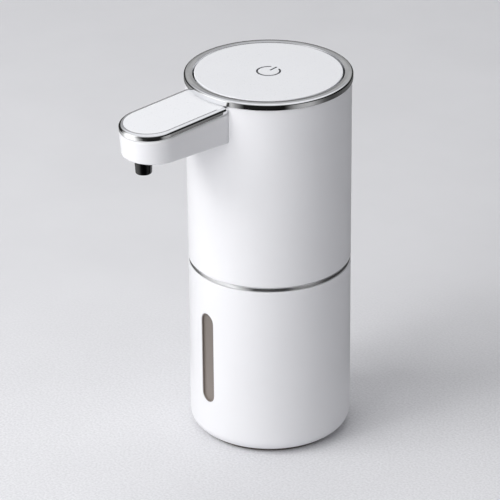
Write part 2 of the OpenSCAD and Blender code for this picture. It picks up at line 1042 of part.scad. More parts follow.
module tube_section() {
  difference() {
    circle(r = tube_r);
    circle(d = tube_bore);
  }
}

module outlet_tube() {
  start_z = cover_z + outlet_block_h;
  bend_z = tube_z - tube_bend;
  bend_y = tube_y + tube_bend;
  end_y = nozzle_y - nozzle_flange_r;
  color(silicone)
    union() {
      translate([0, -tube_y, start_z])
        linear_extrude(bend_z - start_z)
          tube_section();
      translate([0, -bend_y, bend_z])
        rotate([90, 0, 90])
          rotate_extrude(angle = 90)
            translate([tube_bend, 0])
              tube_section();
      translate([0, -bend_y, tube_z])
        rotate([90, 0, 0])
          linear_extrude(end_y - bend_y)
            tube_section();
    }
}

// Cell, cradle and boards

module cell_cradle() {
  clip_z = board_top_z - clip_drop - clip_h;
  tab_slot_half = tab_half + tab_slot_gap;
  floor_top_z = deck_top_z + cradle_floor;
  color(black)
    difference() {
      union() {
        translate([0, cell_y, 0]) {
          disc(cradle_r, deck_top_z, deck_top_z + cradle_foot_h);
          disc(cradle_r, clip_z, clip_z + clip_h);
        }
        block([-board_w / 2, board_w / 2], [spine_y, spine_y + spine_t], [deck_top_z, board_top_z]);
        for (side = [-1, 1])
          for (z = [board_z + board_screw_margin, board_top_z - board_screw_margin])
            rod_forward(post_r, side * board_screw_x, z, -board_y, -spine_y - root);
      }
      translate([0, cell_y, 0])
        disc(cradle_bore_r, floor_top_z, board_top_z + past);
      block([-cradle_r - past, cradle_r + past], [cell_y - cradle_r - past, cell_y - clip_open],
        [clip_z - past, clip_z + clip_h + past]);
      block([-tab_slot_half, tab_slot_half], [cell_y, spine_y + spine_t + past],
        [floor_top_z, floor_top_z + tab_slot_h]);
      for (side = [-1, 1])
        for (z = [board_z + board_screw_margin, board_top_z - board_screw_margin])
          rod_forward(pilot_r + seat_gap, side * board_screw_x, z, -board_y - past, -spine_y + past);
    }
}

module battery_cell() {
  color(wrap_blue)
    translate([0, cell_y, 0])
      disc(cell_r, cell_z, cell_top_z);
}

module cell_tabs() {
  x = [-tab_half, tab_half];
  color(steel) {
    translate([0, cell_y, 0]) {
      disc(tab_r, cell_z - tab_t, cell_z);
      disc(tab_r, cell_top_z, cell_top_z + tab_t);
    }
    block(x, [cell_y, board_y], [cell_z - tab_t, cell_z]);
    block(x, [cell_y, board_y], [cell_top_z, cell_top_z + tab_t]);
    block(x, [board_y - tab_t, board_y], [cell_z - tab_t, board_z + tab_foot]);
    block(x, [board_y - tab_t, board_y], [board_top_z - tab_top, cell_top_z + tab_t]);
  }
}

module main_board() {
  color(board_green)
    difference() {
      block([-board_w / 2, board_w / 2], [board_y, board_y + board_t], [board_z, board_top_z]);
      for (side = [-1, 1])
        for (z = [board_z + board_screw_margin, board_top_z - board_screw_margin])
          rod_forward(pilot_r + seat_gap, side * board_screw_x, z, -board_y - board_t - past,
            -board_y + past);
    }
}

// Chip on the back of the main board, its middle given as shares of the board's width and height
module chip(across, up, w, h, t) {
  translate([across * board_w - w / 2, board_y + board_t, board_z + up * board_h - h / 2])
    cube([w, t, h]);
}

module board_chips() {
  color(black) {
    chip(-0.17, 0.63, wide_chip_w, wide_chip_w, wide_chip_t);
    chip(0.15, 0.62, small_chip_w, small_chip_h, small_chip_t);
    chip(0, 0.45, coil_w, coil_w, coil_t);
  }
}

module board_screws() {
  seat_y = board_y + board_t;
  color(steel)
    for (side = [-1, 1])
      for (z = [board_z + board_screw_margin, board_top_z - board_screw_margin]) {
        rod_forward(pilot_r, side * board_screw_x, z, -seat_y, -spine_y - board_screw_stop);
        rod_forward(board_head_r, side * board_screw_x, z, -seat_y - board_head_h, -seat_y);
      }
  color(steel)
    for (side = [-1, 1])
      translate([side * switch_screw_x, 0, 0]) {
        disc(board_head_r, switch_board_z - board_head_h, switch_board_z);
        disc(pilot_r, switch_board_z, frame_z + frame_t - board_screw_stop);
      }
}

module usb_socket() {
  front_y = inner_r - usb_gap;
  x = [-usb_w, usb_w];
  z = [head_z, bezel_z];
  color(steel)
    difference() {
      intersection() {
        back_capsule(usb_w, usb_h, port_centre_z);
        block(x, [board_y + board_t, front_y], z);
      }
      difference() {
        intersection() {
          back_capsule(usb_w - 2 * usb_sheet, usb_h - 2 * usb_sheet, port_centre_z);
          block(x, [front_y - usb_depth, front_y + past], z);
        }
        block([-tongue_half_w, tongue_half_w], [front_y - usb_depth - past, front_y - tongue_back],
          [port_centre_z - tongue_half_t, port_centre_z + tongue_half_t]);
      }
    }
}

module port_flap() {
  color(silicone)
    union() {
      difference() {
        intersection() {
          back_capsule(flap_w, flap_h, port_centre_z);
          ring(body_r, flap_back_r, head_z, bezel_z);
        }
        block([-flap_w, flap_w], [0, body_r + past], [head_z, flap_axis_z]);
      }
      translate([-flap_bead_l / 2, flap_axis_y, flap_axis_z])
        rotate([0, 90, 0])
          cylinder(r = flap_bead_r, h = flap_bead_l);
      intersection() {
        back_capsule(usb_w - flap_plug_gap_w, usb_h - flap_plug_gap_h, port_centre_z);
        block([-usb_w, usb_w], [inner_r - flap_plug_back, body_r - flap_plug_root], [head_z, bezel_z]);
      }
    }
}

// Spout

module spout_loft() {
  body_top = spout_z - trim_h;
  edge_z = under_z + spout_round;
  hull() {
    translate([0, 0, body_top])
      linear_extrude(loft_sheet)
        spout_plan(trim_proud, $fn = loft_faces);
    for (turn = [0 : loft_step : 90])
      translate([0, spout_draft, edge_z - spout_round * sin(turn)])
        linear_extrude(loft_sheet)
          spout_plan(trim_proud + spout_round * (1 - cos(turn)), $fn = loft_faces);
  }
}

module spout_body() {
  color(white)
    difference() {
      union() {
        difference() {
          spout_loft();
          translate([0, 0, floor_z])
            linear_extrude(spout_root_h)
              spout_plan(cavity_inset);
        }
        for (side = [-1, 1])
          rod_forward(spout_boss_r, side * spout_screw_x, spout_screw_z, inner_r, body_r + spout_boss_l);
        for (side = [-1, 1])
          translate([side * sensor_post_x, -sensor_y, 0])
            disc(sensor_post_r, floor_z - root, sensor_board_z);
      }
      difference() {
        translate([-span / 2, -span / 2, under_z - past])
          cube([span, span, span]);
        under_top(trim_h);
      }
      disc(body_r + seat_gap, under_z - past, top_z + past);
      for (side = [-1, 1])
        rod_forward(pilot_r + seat_gap, side * spout_screw_x, spout_screw_z, inner_r,
          body_r + spout_screw_grip + past);
      translate([0, -nozzle_y, 0])
        disc(nozzle_r + seat_gap, under_z - past, floor_z + past);
      translate([0, -sensor_y, under_z - past])
        linear_extrude(spout_floor + 2 * past)
          rotate(90)
            capsule(sensor_d, sensor_w);
    }
}

module spout_trim() {
  color(chrome)
    difference() {
      spout_layer(0, 0, trim_h);
      translate([0, 0, under_z - past])
        linear_extrude(3 * spout_root_h)
          spout_plan(trim_w);
    }
}

module spout_cover() {
  color(white)
    spout_layer(trim_w + seat_gap, 0, trim_h);
}

module spout_screws() {
  color(steel)
    for (side = [-1, 1]) {
      rod_forward(screw_head_r, side * spout_screw_x, spout_screw_z, spout_pad_y - screw_head_h,
        spout_pad_y);
      rod_forward(pilot_r, side * spout_screw_x, spout_screw_z, spout_pad_y, body_r + spout_screw_grip);
    }
}

module nozzle_tip() {
  end_z = under_z - nozzle_drop;
  end_r = nozzle_r - nozzle_taper;
  color(black)
    translate([0, -nozzle_y, 0])
      difference() {
        union() {
          disc(nozzle_flange_r, floor_z, floor_z + nozzle_flange_t);
          disc(nozzle_r, under_z, floor_z + root);
          translate([0, 0, end_z + nozzle_edge])
            cylinder(r1 = end_r, r2 = nozzle_r, h = nozzle_drop - nozzle_edge);
          translate([0, 0, end_z])
            cylinder(r1 = end_r - nozzle_edge, r2 = end_r, h = nozzle_edge);
        }
        disc(nozzle_bore / 2, end_z - past, floor_z + nozzle_flange_t + past);
      }
}

module foam_screens() {
  color(steel)
    translate([0, -nozzle_y, 0])
      for (z = [under_z - screen_drop, floor_z])
        disc(nozzle_bore / 2 - seat_gap, z, z + screen_t);
}

module nozzle_seal() {
  seal_base_z = floor_z + nozzle_flange_t;
  color(silicone)
    translate([0, -nozzle_y, 0])
      ring(nozzle_flange_r - nozzle_seal_in, nozzle_bore / 2, seal_base_z, seal_base_z + nozzle_seal_t);
}

module nozzle_elbow() {
  barb_y = nozzle_y - nozzle_flange_r - barb_l;
  color(natural)
    difference() {
      union() {
        translate([0, -nozzle_y, 0])
          disc(nozzle_flange_r, elbow_z, elbow_top_z);
        rod_forward(tube_bore / 2 - seat_gap, 0, tube_z, barb_y, nozzle_y - barb_in);
      }
      translate([0, -nozzle_y, 0])
        disc(outlet_bore_r, elbow_z - past, tube_z);
      rod_forward(outlet_bore_r, 0, tube_z, barb_y - past, nozzle_y);
    }
}

module sensor_window() {
  color(black)
    translate([0, -sensor_y, under_z + sensor_recess])
      linear_extrude(spout_floor - sensor_recess)
        rotate(90)
          capsule(sensor_d - 2 * seat_gap, sensor_w - 2 * seat_gap);
}

module sensor_board() {
  color(board_green)
    block([-sensor_board_half_w, sensor_board_half_w],
      [-sensor_y - sensor_board_half_d, -sensor_y + sensor_board_half_d],
      [sensor_board_z, sensor_board_z + sensor_board_t]);
}

module infrared_pair() {
  color(black)
    for (side = [-1, 1])
      translate([side * infrared_x, -sensor_y, 0])
        disc(infrared_r, sensor_board_z - infrared_h, sensor_board_z);
}

module sensor_ribbon() {
  run_z = sensor_board_z + sensor_board_t;
  x = [ribbon_x, ribbon_x + ribbon_w];
  color(natural)
    union() {
      block(x, [-sensor_y, board_y], [run_z, run_z + ribbon_t]);
      block(x, [board_y - ribbon_t, board_y], [board_top_z - ribbon_foot, run_z + ribbon_t]);
    }
}

// Top: bezel, frame, panel and switch

module top_bezel() {
  color(chrome)
    difference() {
      union() {
        disc(bezel_r, bezel_z, top_z - bezel_round);
        disc(bezel_r - bezel_round, bezel_z, top_z);
        translate([0, 0, top_z - bezel_round])
          rotate_extrude()
            translate([bezel_r - bezel_round, 0])
              circle(r = bezel_round);
        disc(skirt_r, frame_z, bezel_z);
      }
      disc(bezel_bore_r, bezel_z, top_z + past);
      disc(ledge_r, bezel_z - ledge_t - past, bezel_z + past);
      disc(skirt_r - skirt_wall, frame_z - past, bezel_z - ledge_t);
    }
}

module button_frame() {
  slot_half_t = hook_half_t + hook_gap;
  slot_half_w = hook_half_w + hook_gap;
  color(black)
    difference() {
      union() {
        disc(frame_r, frame_z, frame_z + frame_t);
        ring(frame_r, frame_r - frame_wall, frame_z, bezel_z - ledge_t);
        for (side = [-1, 1])
          translate([side * switch_screw_x, 0, 0])
            disc(frame_post_r, switch_z, frame_z + root);
      }
      block([-frame_hole_half, frame_hole_half], [-frame_hole_half, frame_hole_half],
        [frame_z - past, frame_z + frame_t + past]);
      for (side = [-1, 1])
        translate([side * switch_screw_x, 0, 0])
          disc(pilot_r + seat_gap, switch_z - past, frame_z + frame_t + past);
      at_angles(hook_angles, hook_place_r)
        block([-slot_half_t, slot_half_t], [-slot_half_w, slot_half_w],
          [frame_z - past, frame_z + frame_t + past]);
    }
}

module panel_seal() {
  color(silicone)
    ring(panel_r - panel_seal_out, ledge_r + panel_seal_in, bezel_z, top_z - panel_t);
}

module mark_outline() {
  mark_r = mark_d / 2;
  gap_x = mark_d * tan(mark_gap_angle);
  rotate(mark_turn) {
    difference() {
      circle(r = mark_r + mark_line / 2);
      circle(r = mark_r - mark_line / 2);
      polygon([[0, 0], [-gap_x, mark_d], [gap_x, mark_d]]);
    }
    translate([-mark_line / 2, mark_bar_from * mark_r])
      square([mark_line, mark_bar_l * mark_r]);
  }
}

module top_panel() {
  under = top_z - panel_t;
  hook_top_z = frame_z - move_gap;
  y = [-hook_half_w, hook_half_w];
  color(white)
    difference() {
      union() {
        disc(panel_r, under, top_z);
        disc(stem_pad_r, stem_top_z, under + root);
        at_angles(hook_angles, hook_place_r) {
          block([-hook_half_t, hook_half_t], y, [hook_top_z - hook_h, under + root]);
          block([-hook_half_t, hook_out], y, [hook_top_z - hook_h, hook_top_z]);
        }
      }
      translate([0, 0, top_z - mark_depth])
        linear_extrude(past)
          mark_outline();
    }
}

module power_mark() {
  color(mark_grey)
    translate([0, 0, top_z - mark_depth])
      linear_extrude(mark_depth)
        mark_outline();
}

module switch_board() {
  color(board_green)
    difference() {
      block([-switch_board_half_w, switch_board_half_w], [-switch_board_half_d, switch_board_half_d],
        [switch_board_z, switch_z]);
      for (side = [-1, 1])
        translate([side * switch_screw_x, 0, 0])
          disc(pilot_r + seat_gap, switch_board_z - past, switch_z + past);
    }
}

module tact_switch() {
  half = switch_w / 2;
  color(black)
    difference() {
      block([-half, half], [-half, half], [switch_z, switch_z + switch_h]);
      disc(switch_stem_r + run_gap, switch_z + switch_floor, switch_z + switch_h + past);
    }
}

module switch_stem() {
  color(natural)
    disc(switch_stem_r, switch_z + switch_floor + switch_rest_gap + press_travel, stem_top_z);
}

bottle_sleeve();
soap_tank();
window_lens();
foot_pad();
seam_ring();
head_shell();
pump_deck();
neck_seal();
deck_screws();
vent_valve();
dip_tube();
strainer();
suction_tube();
pump_feet();
pump_cover();
valve_plate();
diaphragm();
pump_housing();
pump_screws();
motor_can();
motor_bush();
motor_magnets();
motor_end_bell();
motor_terminals();
motor_screws();
motor_leads();
armature();
motor_shaft();
eccentric();
crank_pin();
wobble_plate();
outlet_tube();
cell_cradle();
battery_cell();
cell_tabs();
main_board();
board_chips();
board_screws();
usb_socket();
port_flap();
spout_body();
spout_trim();
spout_cover();
spout_screws();
nozzle_tip();
foam_screens();
nozzle_seal();
nozzle_elbow();
sensor_window();
sensor_board();
infrared_pair();
sensor_ribbon();
top_bezel();
button_frame();
panel_seal();
top_panel();
power_mark();
switch_board();
tact_switch();
switch_stem();
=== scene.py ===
# %% [markdown]
# # A touch-free foam soap dispenser
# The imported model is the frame: it says where every piece sits and how it moves. This lesson
# dresses that frame. The smooth outer pieces are worked out again as fine surfaces, the inner
# pieces keep their CAD meshes, and every one of them gets a finish made of shader nodes.

# %% Load the frame
import bmesh
import bpy
import numpy as np
from mathutils import Matrix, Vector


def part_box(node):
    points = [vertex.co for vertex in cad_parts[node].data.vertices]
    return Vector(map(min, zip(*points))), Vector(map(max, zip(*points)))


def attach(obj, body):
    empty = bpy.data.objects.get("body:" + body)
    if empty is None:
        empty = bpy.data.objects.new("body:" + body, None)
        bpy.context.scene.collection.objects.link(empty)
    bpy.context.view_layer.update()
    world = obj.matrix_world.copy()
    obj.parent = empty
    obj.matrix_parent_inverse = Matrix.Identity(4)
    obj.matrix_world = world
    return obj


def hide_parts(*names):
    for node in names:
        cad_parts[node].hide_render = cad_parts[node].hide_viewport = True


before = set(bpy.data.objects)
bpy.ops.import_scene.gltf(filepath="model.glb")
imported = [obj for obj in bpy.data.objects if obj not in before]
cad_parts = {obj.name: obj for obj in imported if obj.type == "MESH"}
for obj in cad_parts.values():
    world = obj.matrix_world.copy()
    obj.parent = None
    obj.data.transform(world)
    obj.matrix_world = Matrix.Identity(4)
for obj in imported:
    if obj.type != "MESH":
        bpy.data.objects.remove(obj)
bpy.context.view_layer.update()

mm = 0.001
print("pieces in the frame:", len(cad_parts))

# %% [markdown]
# ## Sizes
# A piece that replaces a CAD node has to fit where the node was, so the main sizes are read from
# the nodes' boxes. Only small things that the boxes can't tell, such as the rounding of an edge,
# are typed in, in millimetres.

# %% Read the main sizes


def box(node):
    """Lowest and highest corner of a CAD node as two arrays."""
    low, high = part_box(node)
    return np.array(low), np.array(high)


sleeve_low, sleeve_high = box("bottle_sleeve")
shell_low, shell_high = box("head_shell")
wall_r = shell_high[0]
wall_t = 2.2 * mm
bore_r = wall_r - wall_t
rim_z = sleeve_high[2]
head_z, bezel_z = shell_low[2], shell_high[2]
bezel_r, top_z = box("top_bezel")[1][[0, 2]]
panel_r = box("top_panel")[1][0]
print("wall radius %.1f mm, height %.1f mm" % (wall_r / mm, top_z / mm))

# %% [markdown]
# ## Camera
# The picture was taken from a little above, with a long lens and the spout turned to the left.
# The lens, the distance and the small turns come from fitting the circles of the top, the seam and the foot
# to the picture. The camera's three axes are built as rows and turned one by one, so that it can be aimed to
# a fraction of a pixel.

# %% Aim the camera
view_turn = np.radians(50.46)
view_rise = np.radians(26.135)
view_distance = 1463.7 * mm
aim = np.array([0, 0, 90.4 * mm])
lens_pixels, frame_pixels, sensor = 3050.25, 500, 36.0
pan, tilt, roll = -0.00638, -0.0006, 0.0053
nearest, farthest = 0.05, 50


def turn(axis, angle):
    """3 x 3 matrix that turns by an angle about axis 0, 1 or 2."""
    return np.array(Matrix.Rotation(angle, 3, "XYZ"[axis]))


def new_object(name, data):
    """An object in the scene with the given camera, mesh or lamp."""
    made = bpy.data.objects.new(name, data)
    bpy.context.scene.collection.objects.link(made)
    return made


def pose(rows, where):
    """4 x 4 matrix of an object at a place, with its three axes given as rows."""
    matrix = Matrix(rows.T.tolist()).to_4x4()
    matrix.translation = where.tolist()
    return matrix


toward = np.array([np.sin(view_turn) * np.cos(view_rise),
                   -np.cos(view_turn) * np.cos(view_rise), np.sin(view_rise)])
right = np.array([np.cos(view_turn), np.sin(view_turn), 0])
axes = np.stack([right, np.cross(toward, right), toward])
axes = turn(2, roll) @ turn(1, pan) @ turn(0, tilt) @ axes

camera_data = bpy.data.cameras.new("camera")
camera_data.sensor_width = sensor
camera_data.lens = lens_pixels / frame_pixels * sensor
camera_data.clip_start, camera_data.clip_end = nearest, farthest
camera = new_object("camera", camera_data)
camera.matrix_world = pose(axes, aim + view_distance * toward)
bpy.context.scene.camera = camera
print("lens %.1f mm" % camera_data.lens)

# %% [markdown]
# ## Tools for surfaces
# Most pieces here are turned, like pots on a wheel: an outline of distance and height goes once
# round an axis. Sharp edges don't exist on moulded plastic, so every corner of an outline gets a
# small arc. The arrays go into a mesh in one go, doubles at seams and poles are welded, and a
# weighted-normal modifier keeps flat faces flat next to small arcs.

# %% Outlines and turning
tiny, same_point = 1e-12, 1e-8
columns, fine_columns = 240, 288


def unit(v):
    """Vectors scaled to length one along the last axis; a zero vector stays zero."""
    return v / np.maximum(np.linalg.norm(v, axis=-1, keepdims=True), tiny)


def rounded(corners, steps=6):
    """Closed outline through corners (across, up, radius), in millimetres. Each corner becomes an
    arc that touches both sides; its centre lies on the bisector at radius / sin(half angle)."""
    corners = np.array(corners, float) * mm
    points, radius = corners[:, :2], corners[:, 2]
    back = unit(np.roll(points, 1, 0) - points)
    ahead = unit(np.roll(points, -1, 0) - points)
    half = np.arccos(np.clip((back * ahead).sum(1), -1, 1)) / 2
    centre = points + unit(back + ahead) * (radius / np.sin(half))[:, None]
    start = points + back * (radius / np.tan(half))[:, None] - centre
    end = points + ahead * (radius / np.tan(half))[:, None] - centre
    first = np.arctan2(start[:, 1], start[:, 0])
    sweep = (np.arctan2(end[:, 1], end[:, 0]) - first + np.pi) % (2 * np.pi) - np.pi
    angle = first[:, None] + sweep[:, None] * np.linspace(0, 1, steps + 1)
    arcs = np.stack([np.cos(angle), np.sin(angle)], -1) * radius[:, None, None]
    outline = (centre[:, None] + arcs).reshape(-1, 2)
    return outline[np.linalg.norm(outline - np.roll(outline, 1, 0), axis=1) > same_point]


def grid_quads(rows, columns, close_rows=False, close_columns=True):
    """Four-cornered faces of a grid numbered row by row; a closed direction wraps round."""
    r, c = np.meshgrid(np.arange(rows if close_rows else rows - 1),
                       np.arange(columns if close_columns else columns - 1), indexing="ij")
    r_next, c_next = (r + 1) % rows, (c + 1) % columns
    corners = [r * columns + c, r * columns + c_next, r_next * columns + c_next, r_next * columns + c]
    return np.stack(corners, -1).reshape(-1, 4)


def turned(outline, columns=columns, axis=(0, 0)):
    """An outline (distance, height) turned round an upright axis: x = r cos a, y = r sin a. An
    outline that starts on the axis is left open there, because its two ends are poles."""
    angle = np.arange(columns) * 2 * np.pi / columns
    r, z = outline[:, :1], outline[:, 1:]
    points = np.stack([axis[0] + r * np.cos(angle), axis[1] + r * np.sin(angle), z + 0 * angle], -1)
    return points.reshape(-1, 3), grid_quads(len(outline), columns, outline[0, 0] > same_point)


# %% From arrays to a piece
weld_gap = 1e-7


def add_piece(name, points, faces, finish, slot, body, *nodes):
    """Makes the mesh from whole arrays without unused points, welds doubles, turns faces outwards,
    and lets the piece ride on its body in place of the CAD nodes."""
    mesh = bpy.data.meshes.new(name)
    if not isinstance(faces, list):
        used, numbers = np.unique(faces, return_inverse=True)
        points, faces = points[used], numbers.reshape(faces.shape).tolist()
    mesh.from_pydata(points.tolist(), [], faces)
    weld = bmesh.new()
    weld.from_mesh(mesh)
    bmesh.ops.remove_doubles(weld, verts=weld.verts, dist=weld_gap)
    bmesh.ops.recalc_face_normals(weld, faces=weld.faces)
    weld.to_mesh(mesh)
    weld.free()
    mesh.polygons.foreach_set("use_smooth", np.ones(len(mesh.polygons), bool))
    piece = new_object(name, mesh)
    piece.data.materials.append(finish)
    piece.modifiers.new("even_shading", "WEIGHTED_NORMAL")
    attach(piece, body)
    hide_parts(*nodes)
    print("%-16s %6d faces" % (name, len(mesh.polygons)))


# %% [markdown]
# ## Finishes
# Each finish starts from the same few nodes: Object coordinates, a noise, and a Principled
# shader. A moulded plastic has a fine spark-eroded grain, a very slight change of shade and an
# uneven gloss. Plating is a metal with a faint haze. The scale of a noise is in features per
# metre, because Object coordinates are in metres.

# %% Node helpers


def feed(tree, node, sockets):
    """Gives a node's sockets, by name or number, a value each or a link from another node."""
    for key, value in sockets.items():
        if isinstance(value, bpy.types.NodeSocket):
            tree.links.new(value, node.inputs[key])
        else:
            node.inputs[key].default_value = value


def add_node(tree, kind, sockets):
    """A new shader node with its sockets fed."""
    node = tree.nodes.new("ShaderNode" + kind)
    feed(tree, node, sockets)
    return node


def new_finish(name):
    """A material with its node tree, Principled shader and Object coordinates."""
    finish = bpy.data.materials.new(name)
    finish.use_nodes = True
    tree = finish.node_tree
    return finish, tree, tree.nodes["Principled BSDF"], add_node(tree, "TexCoord", {}).outputs["Object"]


# %% Noise, shades and bump
noise_low, noise_high = 0.3, 0.7


def noise(tree, place, scale, detail=3.0, rough=0.5):
    """Noise over the Object coordinates, its scale in features per metre."""
    sockets = {"Vector": place, "Scale": scale, "Detail": detail, "Roughness": rough}
    return add_node(tree, "TexNoise", sockets).outputs["Fac"]


def map_range(tree, value, ends, low, high):
    """A value mapped from its two ends to low and high, which are numbers or sockets."""
    sockets = {"Value": value, "From Min": ends[0], "From Max": ends[1], "To Min": low, "To Max": high}
    return add_node(tree, "MapRange", sockets).outputs["Result"]


def spread(tree, value, low, high):
    """A noise mapped to a range, from the ends between which noise mostly lies."""
    return map_range(tree, value, (noise_low, noise_high), low, high)


def two_tone(tree, value, dark, light):
    """Colour ramp between two close shades."""
    ramp = add_node(tree, "ValToRGB", {"Fac": value})
    for element, position, shade in zip(ramp.color_ramp.elements, (noise_low, noise_high), (dark, light)):
        element.position, element.color = position, (*shade, 1)
    return ramp.outputs["Color"]


def bump(tree, shader, height, strength, depth):
    """Bump from a height, its depth in millimetres."""
    relief = add_node(tree, "Bump", {"Strength": strength, "Distance": depth * mm, "Height": height})
    feed(tree, shader, {"Normal": relief.outputs["Normal"]})


# %% Moulded plastic and metal
cloud_scale, grain_strength, haze_strength = 45, 0.25, 0.3


def moulded(name, dark, light, gloss=(0.35, 0.45), grain=1600, depth=0.02, specular=0.5):
    """Moulded plastic or rubber: two close shades in soft clouds, a fine grain in the bump and
    in the gloss."""
    finish, tree, shader, place = new_finish(name)
    fine = noise(tree, place, grain, 2.0)
    feed(tree, shader, {"Base Color": two_tone(tree, noise(tree, place, cloud_scale), dark, light),
                        "Roughness": spread(tree, fine, *gloss), "Specular IOR Level": specular})
    bump(tree, shader, fine, grain_strength, depth)
    return finish


def metal(name, dark, light, gloss, grain=400, depth=0.0, stretch=None):
    """Metal: two close shades, and a haze that varies; stretch draws the haze out into brushing."""
    finish, tree, shader, place = new_finish(name)
    if stretch:
        place = add_node(tree, "Mapping", {"Vector": place, "Scale": stretch}).outputs["Vector"]
    haze = noise(tree, place, grain, 4.0, 0.6)
    feed(tree, shader, {"Base Color": two_tone(tree, haze, dark, light),
                        "Roughness": spread(tree, haze, *gloss), "Metallic": 1.0})
    if depth:
        bump(tree, shader, haze, haze_strength, depth)
    return finish


# %% Finishes of the pieces that show
white_plastic = moulded("white_plastic", (0.768, 0.768, 0.786), (0.780, 0.780, 0.798), specular=0.3)
# Lighter copy of the white plastic for the faces that look up: painted light on the panel and the spout's
# cover, with its own finer gloss.
top_lit_white_plastic = moulded("top_lit_white_plastic", (0.828, 0.834, 0.856), (0.840, 0.846, 0.868), (0.27, 0.32),
                        depth=0.006)
chrome = metal("chrome", (0.84, 0.845, 0.86), (0.91, 0.915, 0.925), (0.03, 0.07), 260)
foot_rubber = moulded("foot_rubber", (0.060, 0.050, 0.042), (0.085, 0.072, 0.062), (0.6, 0.75), 900, 0.05)
nozzle_plastic = moulded("nozzle_plastic", (0.0008, 0.0008, 0.001), (0.0016, 0.0016, 0.002), (0.1, 0.16),
                         1200, 0.006, 0.45)
mark_ink = moulded("mark_ink", (0.020, 0.021, 0.026), (0.034, 0.036, 0.042), (0.45, 0.6), 3000, 0.01)
dark_lens = moulded("dark_lens", (0.012, 0.008, 0.010), (0.022, 0.015, 0.018), (0.08, 0.14), 300, 0.004)
flap_rubber = moulded("flap_rubber", (0.70, 0.71, 0.73), (0.75, 0.76, 0.78), (0.55, 0.7), 1400, 0.03)
print("finishes so far:", len(bpy.data.materials))

# %% [markdown]
# ## Smoky window and tank
# The level window is a lens of smoky clear plastic in front of the soap tank. From outside it looks like an
# even warm grey with a polished skin. Low down its colour is painted a little lighter: painted light, for the
# soap behind it catching the light. A ramp along the height and a clear coat give that.

# %% Smoky plastic
smoke_scale, smoke_gloss, smoke_coat, coat_gloss = 60, (0.29, 0.31), 0.3, 0.12


def smoky(name, low_z, high_z, low_tone, high_tone):
    """Tinted clear plastic: a tone that changes along the height, an uneven gloss and a coat."""
    finish, tree, shader, place = new_finish(name)
    height = add_node(tree, "SeparateXYZ", {"Vector": place}).outputs["Z"]
    level = map_range(tree, height, (low_z, high_z), noise_low, noise_high)
    haze = noise(tree, place, smoke_scale, 0.0)
    feed(tree, shader, {"Base Color": two_tone(tree, level, low_tone, high_tone),
                        "Roughness": spread(tree, haze, *smoke_gloss),
                        "Coat Weight": smoke_coat, "Coat Roughness": coat_gloss})
    return finish


lens_low, lens_high = box("window_lens")
# The window's tone is lighter at its foot: painted light for the lit soap behind the lens.
window_smoke = smoky("window_smoke", lens_low[2], lens_high[2],
                     (0.205, 0.176, 0.157), (0.168, 0.144, 0.129))
tank_smoke = smoky("tank_smoke", sleeve_low[2], rim_z, (0.20, 0.18, 0.168), (0.26, 0.235, 0.22))
print("window from %.1f to %.1f mm" % (lens_low[2] / mm, lens_high[2] / mm))

# %% [markdown]
# ## Openings in a round wall
# The sleeve has a window slot and the head has a port. Cutting with a boolean would leave long
# thin faces that shade badly on a smooth white wall. Here a block of the wall's grid is left out
# instead, and rings of points lead from the block's square edge to the round-ended slot, over a
# small edge arc, through the wall and out to the grid of the inner face.

# %% Round-ended slots through a wall


def arc_steps(count=5):
    """Pairs (inward, deep) of a quarter arc of radius one, from the surface into the edge."""
    angle = np.linspace(0, np.pi / 2, count)
    return np.sin(angle), 1 - np.cos(angle)


def slot_rings(half, radius, edge, deep):
    """Rings (blend, half length, radius, depth) from the wall's grid to the bottom of a slot. Blend
    is 1 on the grid's square edge and 0 on the slot's outline; depth counts from the surface."""
    inward, down = arc_steps()
    ease = np.array([[b, half, radius + edge, 0] for b in (0.75, 0.5, 0.25)])
    lip = np.stack([0 * inward, half + 0 * inward, radius + edge * (1 - inward), edge * down], -1)
    side = np.array([[0, half, radius, d] for d in np.linspace(edge, deep, 4)[1:]])
    return np.concatenate([ease, lip, side])


def open_wall(points, faces, columns, outer, inner, across, middle, rings, level):
    """Leaves out the block of outer rows, inner rows and columns, and joins the two square edges by
    rings. A ring's point is blend * square + (1 - blend) * (core point + radius * direction), and
    it goes onto the cylinder at its depth by angle = asin(sideways / cylinder radius)."""
    rows = np.array([outer, inner])
    lo, hi = across
    row_of, column_of = faces[:, 0] // columns, faces[:, 0] % columns
    in_rows = ((row_of[:, None] >= rows.min(1)) & (row_of[:, None] < rows.max(1))).any(1)
    faces = faces[~(in_rows & (column_of >= lo) & (column_of < hi))]
    up, over = np.arange(abs(outer[1] - outer[0]) + 1), np.arange(lo, hi + 1)
    step = np.concatenate([0 * over[:-1], up[:-1], 0 * over[:-1] + up[-1], up[:0:-1]])
    column = np.concatenate([over[:-1], hi + 0 * up[:-1], over[:0:-1], lo + 0 * up[:-1]])
    loop_out = (outer[0] + step) * columns + column
    loop_in = (inner[0] - step) * columns + column
    azimuth, middle_z = middle
    r_out = np.linalg.norm(points[loop_out[0], :2])
    angle = column * 2 * np.pi / columns - azimuth
    square = np.stack([np.sin(angle) * r_out, points[loop_out, 2] - middle_z], -1)
    loops = [loop_out, loop_in]
    if len(rings):
        long_way = 0 if level else 1
        half = rings[0, 1]
        core = np.zeros_like(square)
        core[:, long_way] = np.clip(square[:, long_way] / half, -1, 1)
        direction = unit(square - core * half)
        blend, half, radius, depth = (rings[:, i, None, None] for i in range(4))
        flat = blend * square + (1 - blend) * (core * half + radius * direction)
        r = r_out - depth[..., 0]
        where = azimuth + np.arcsin(flat[..., 0] / r)
        new = np.stack([r * np.cos(where), r * np.sin(where), middle_z + flat[..., 1]], -1)
        numbers = len(points) + np.arange(new[..., 0].size).reshape(len(rings), -1)
        points = np.concatenate([points, new.reshape(-1, 3)])
        loops = [loop_out, *numbers, loop_in]
    loops = np.array(loops)
    joined = np.stack([loops[:-1], np.roll(loops[:-1], -1, 1), np.roll(loops[1:], -1, 1), loops[1:]], -1)
    return points, np.concatenate([faces, joined.reshape(-1, 4)])


# %% Parts of a wall's outline
edge_round, edge_steps = 0.4 * mm, 5


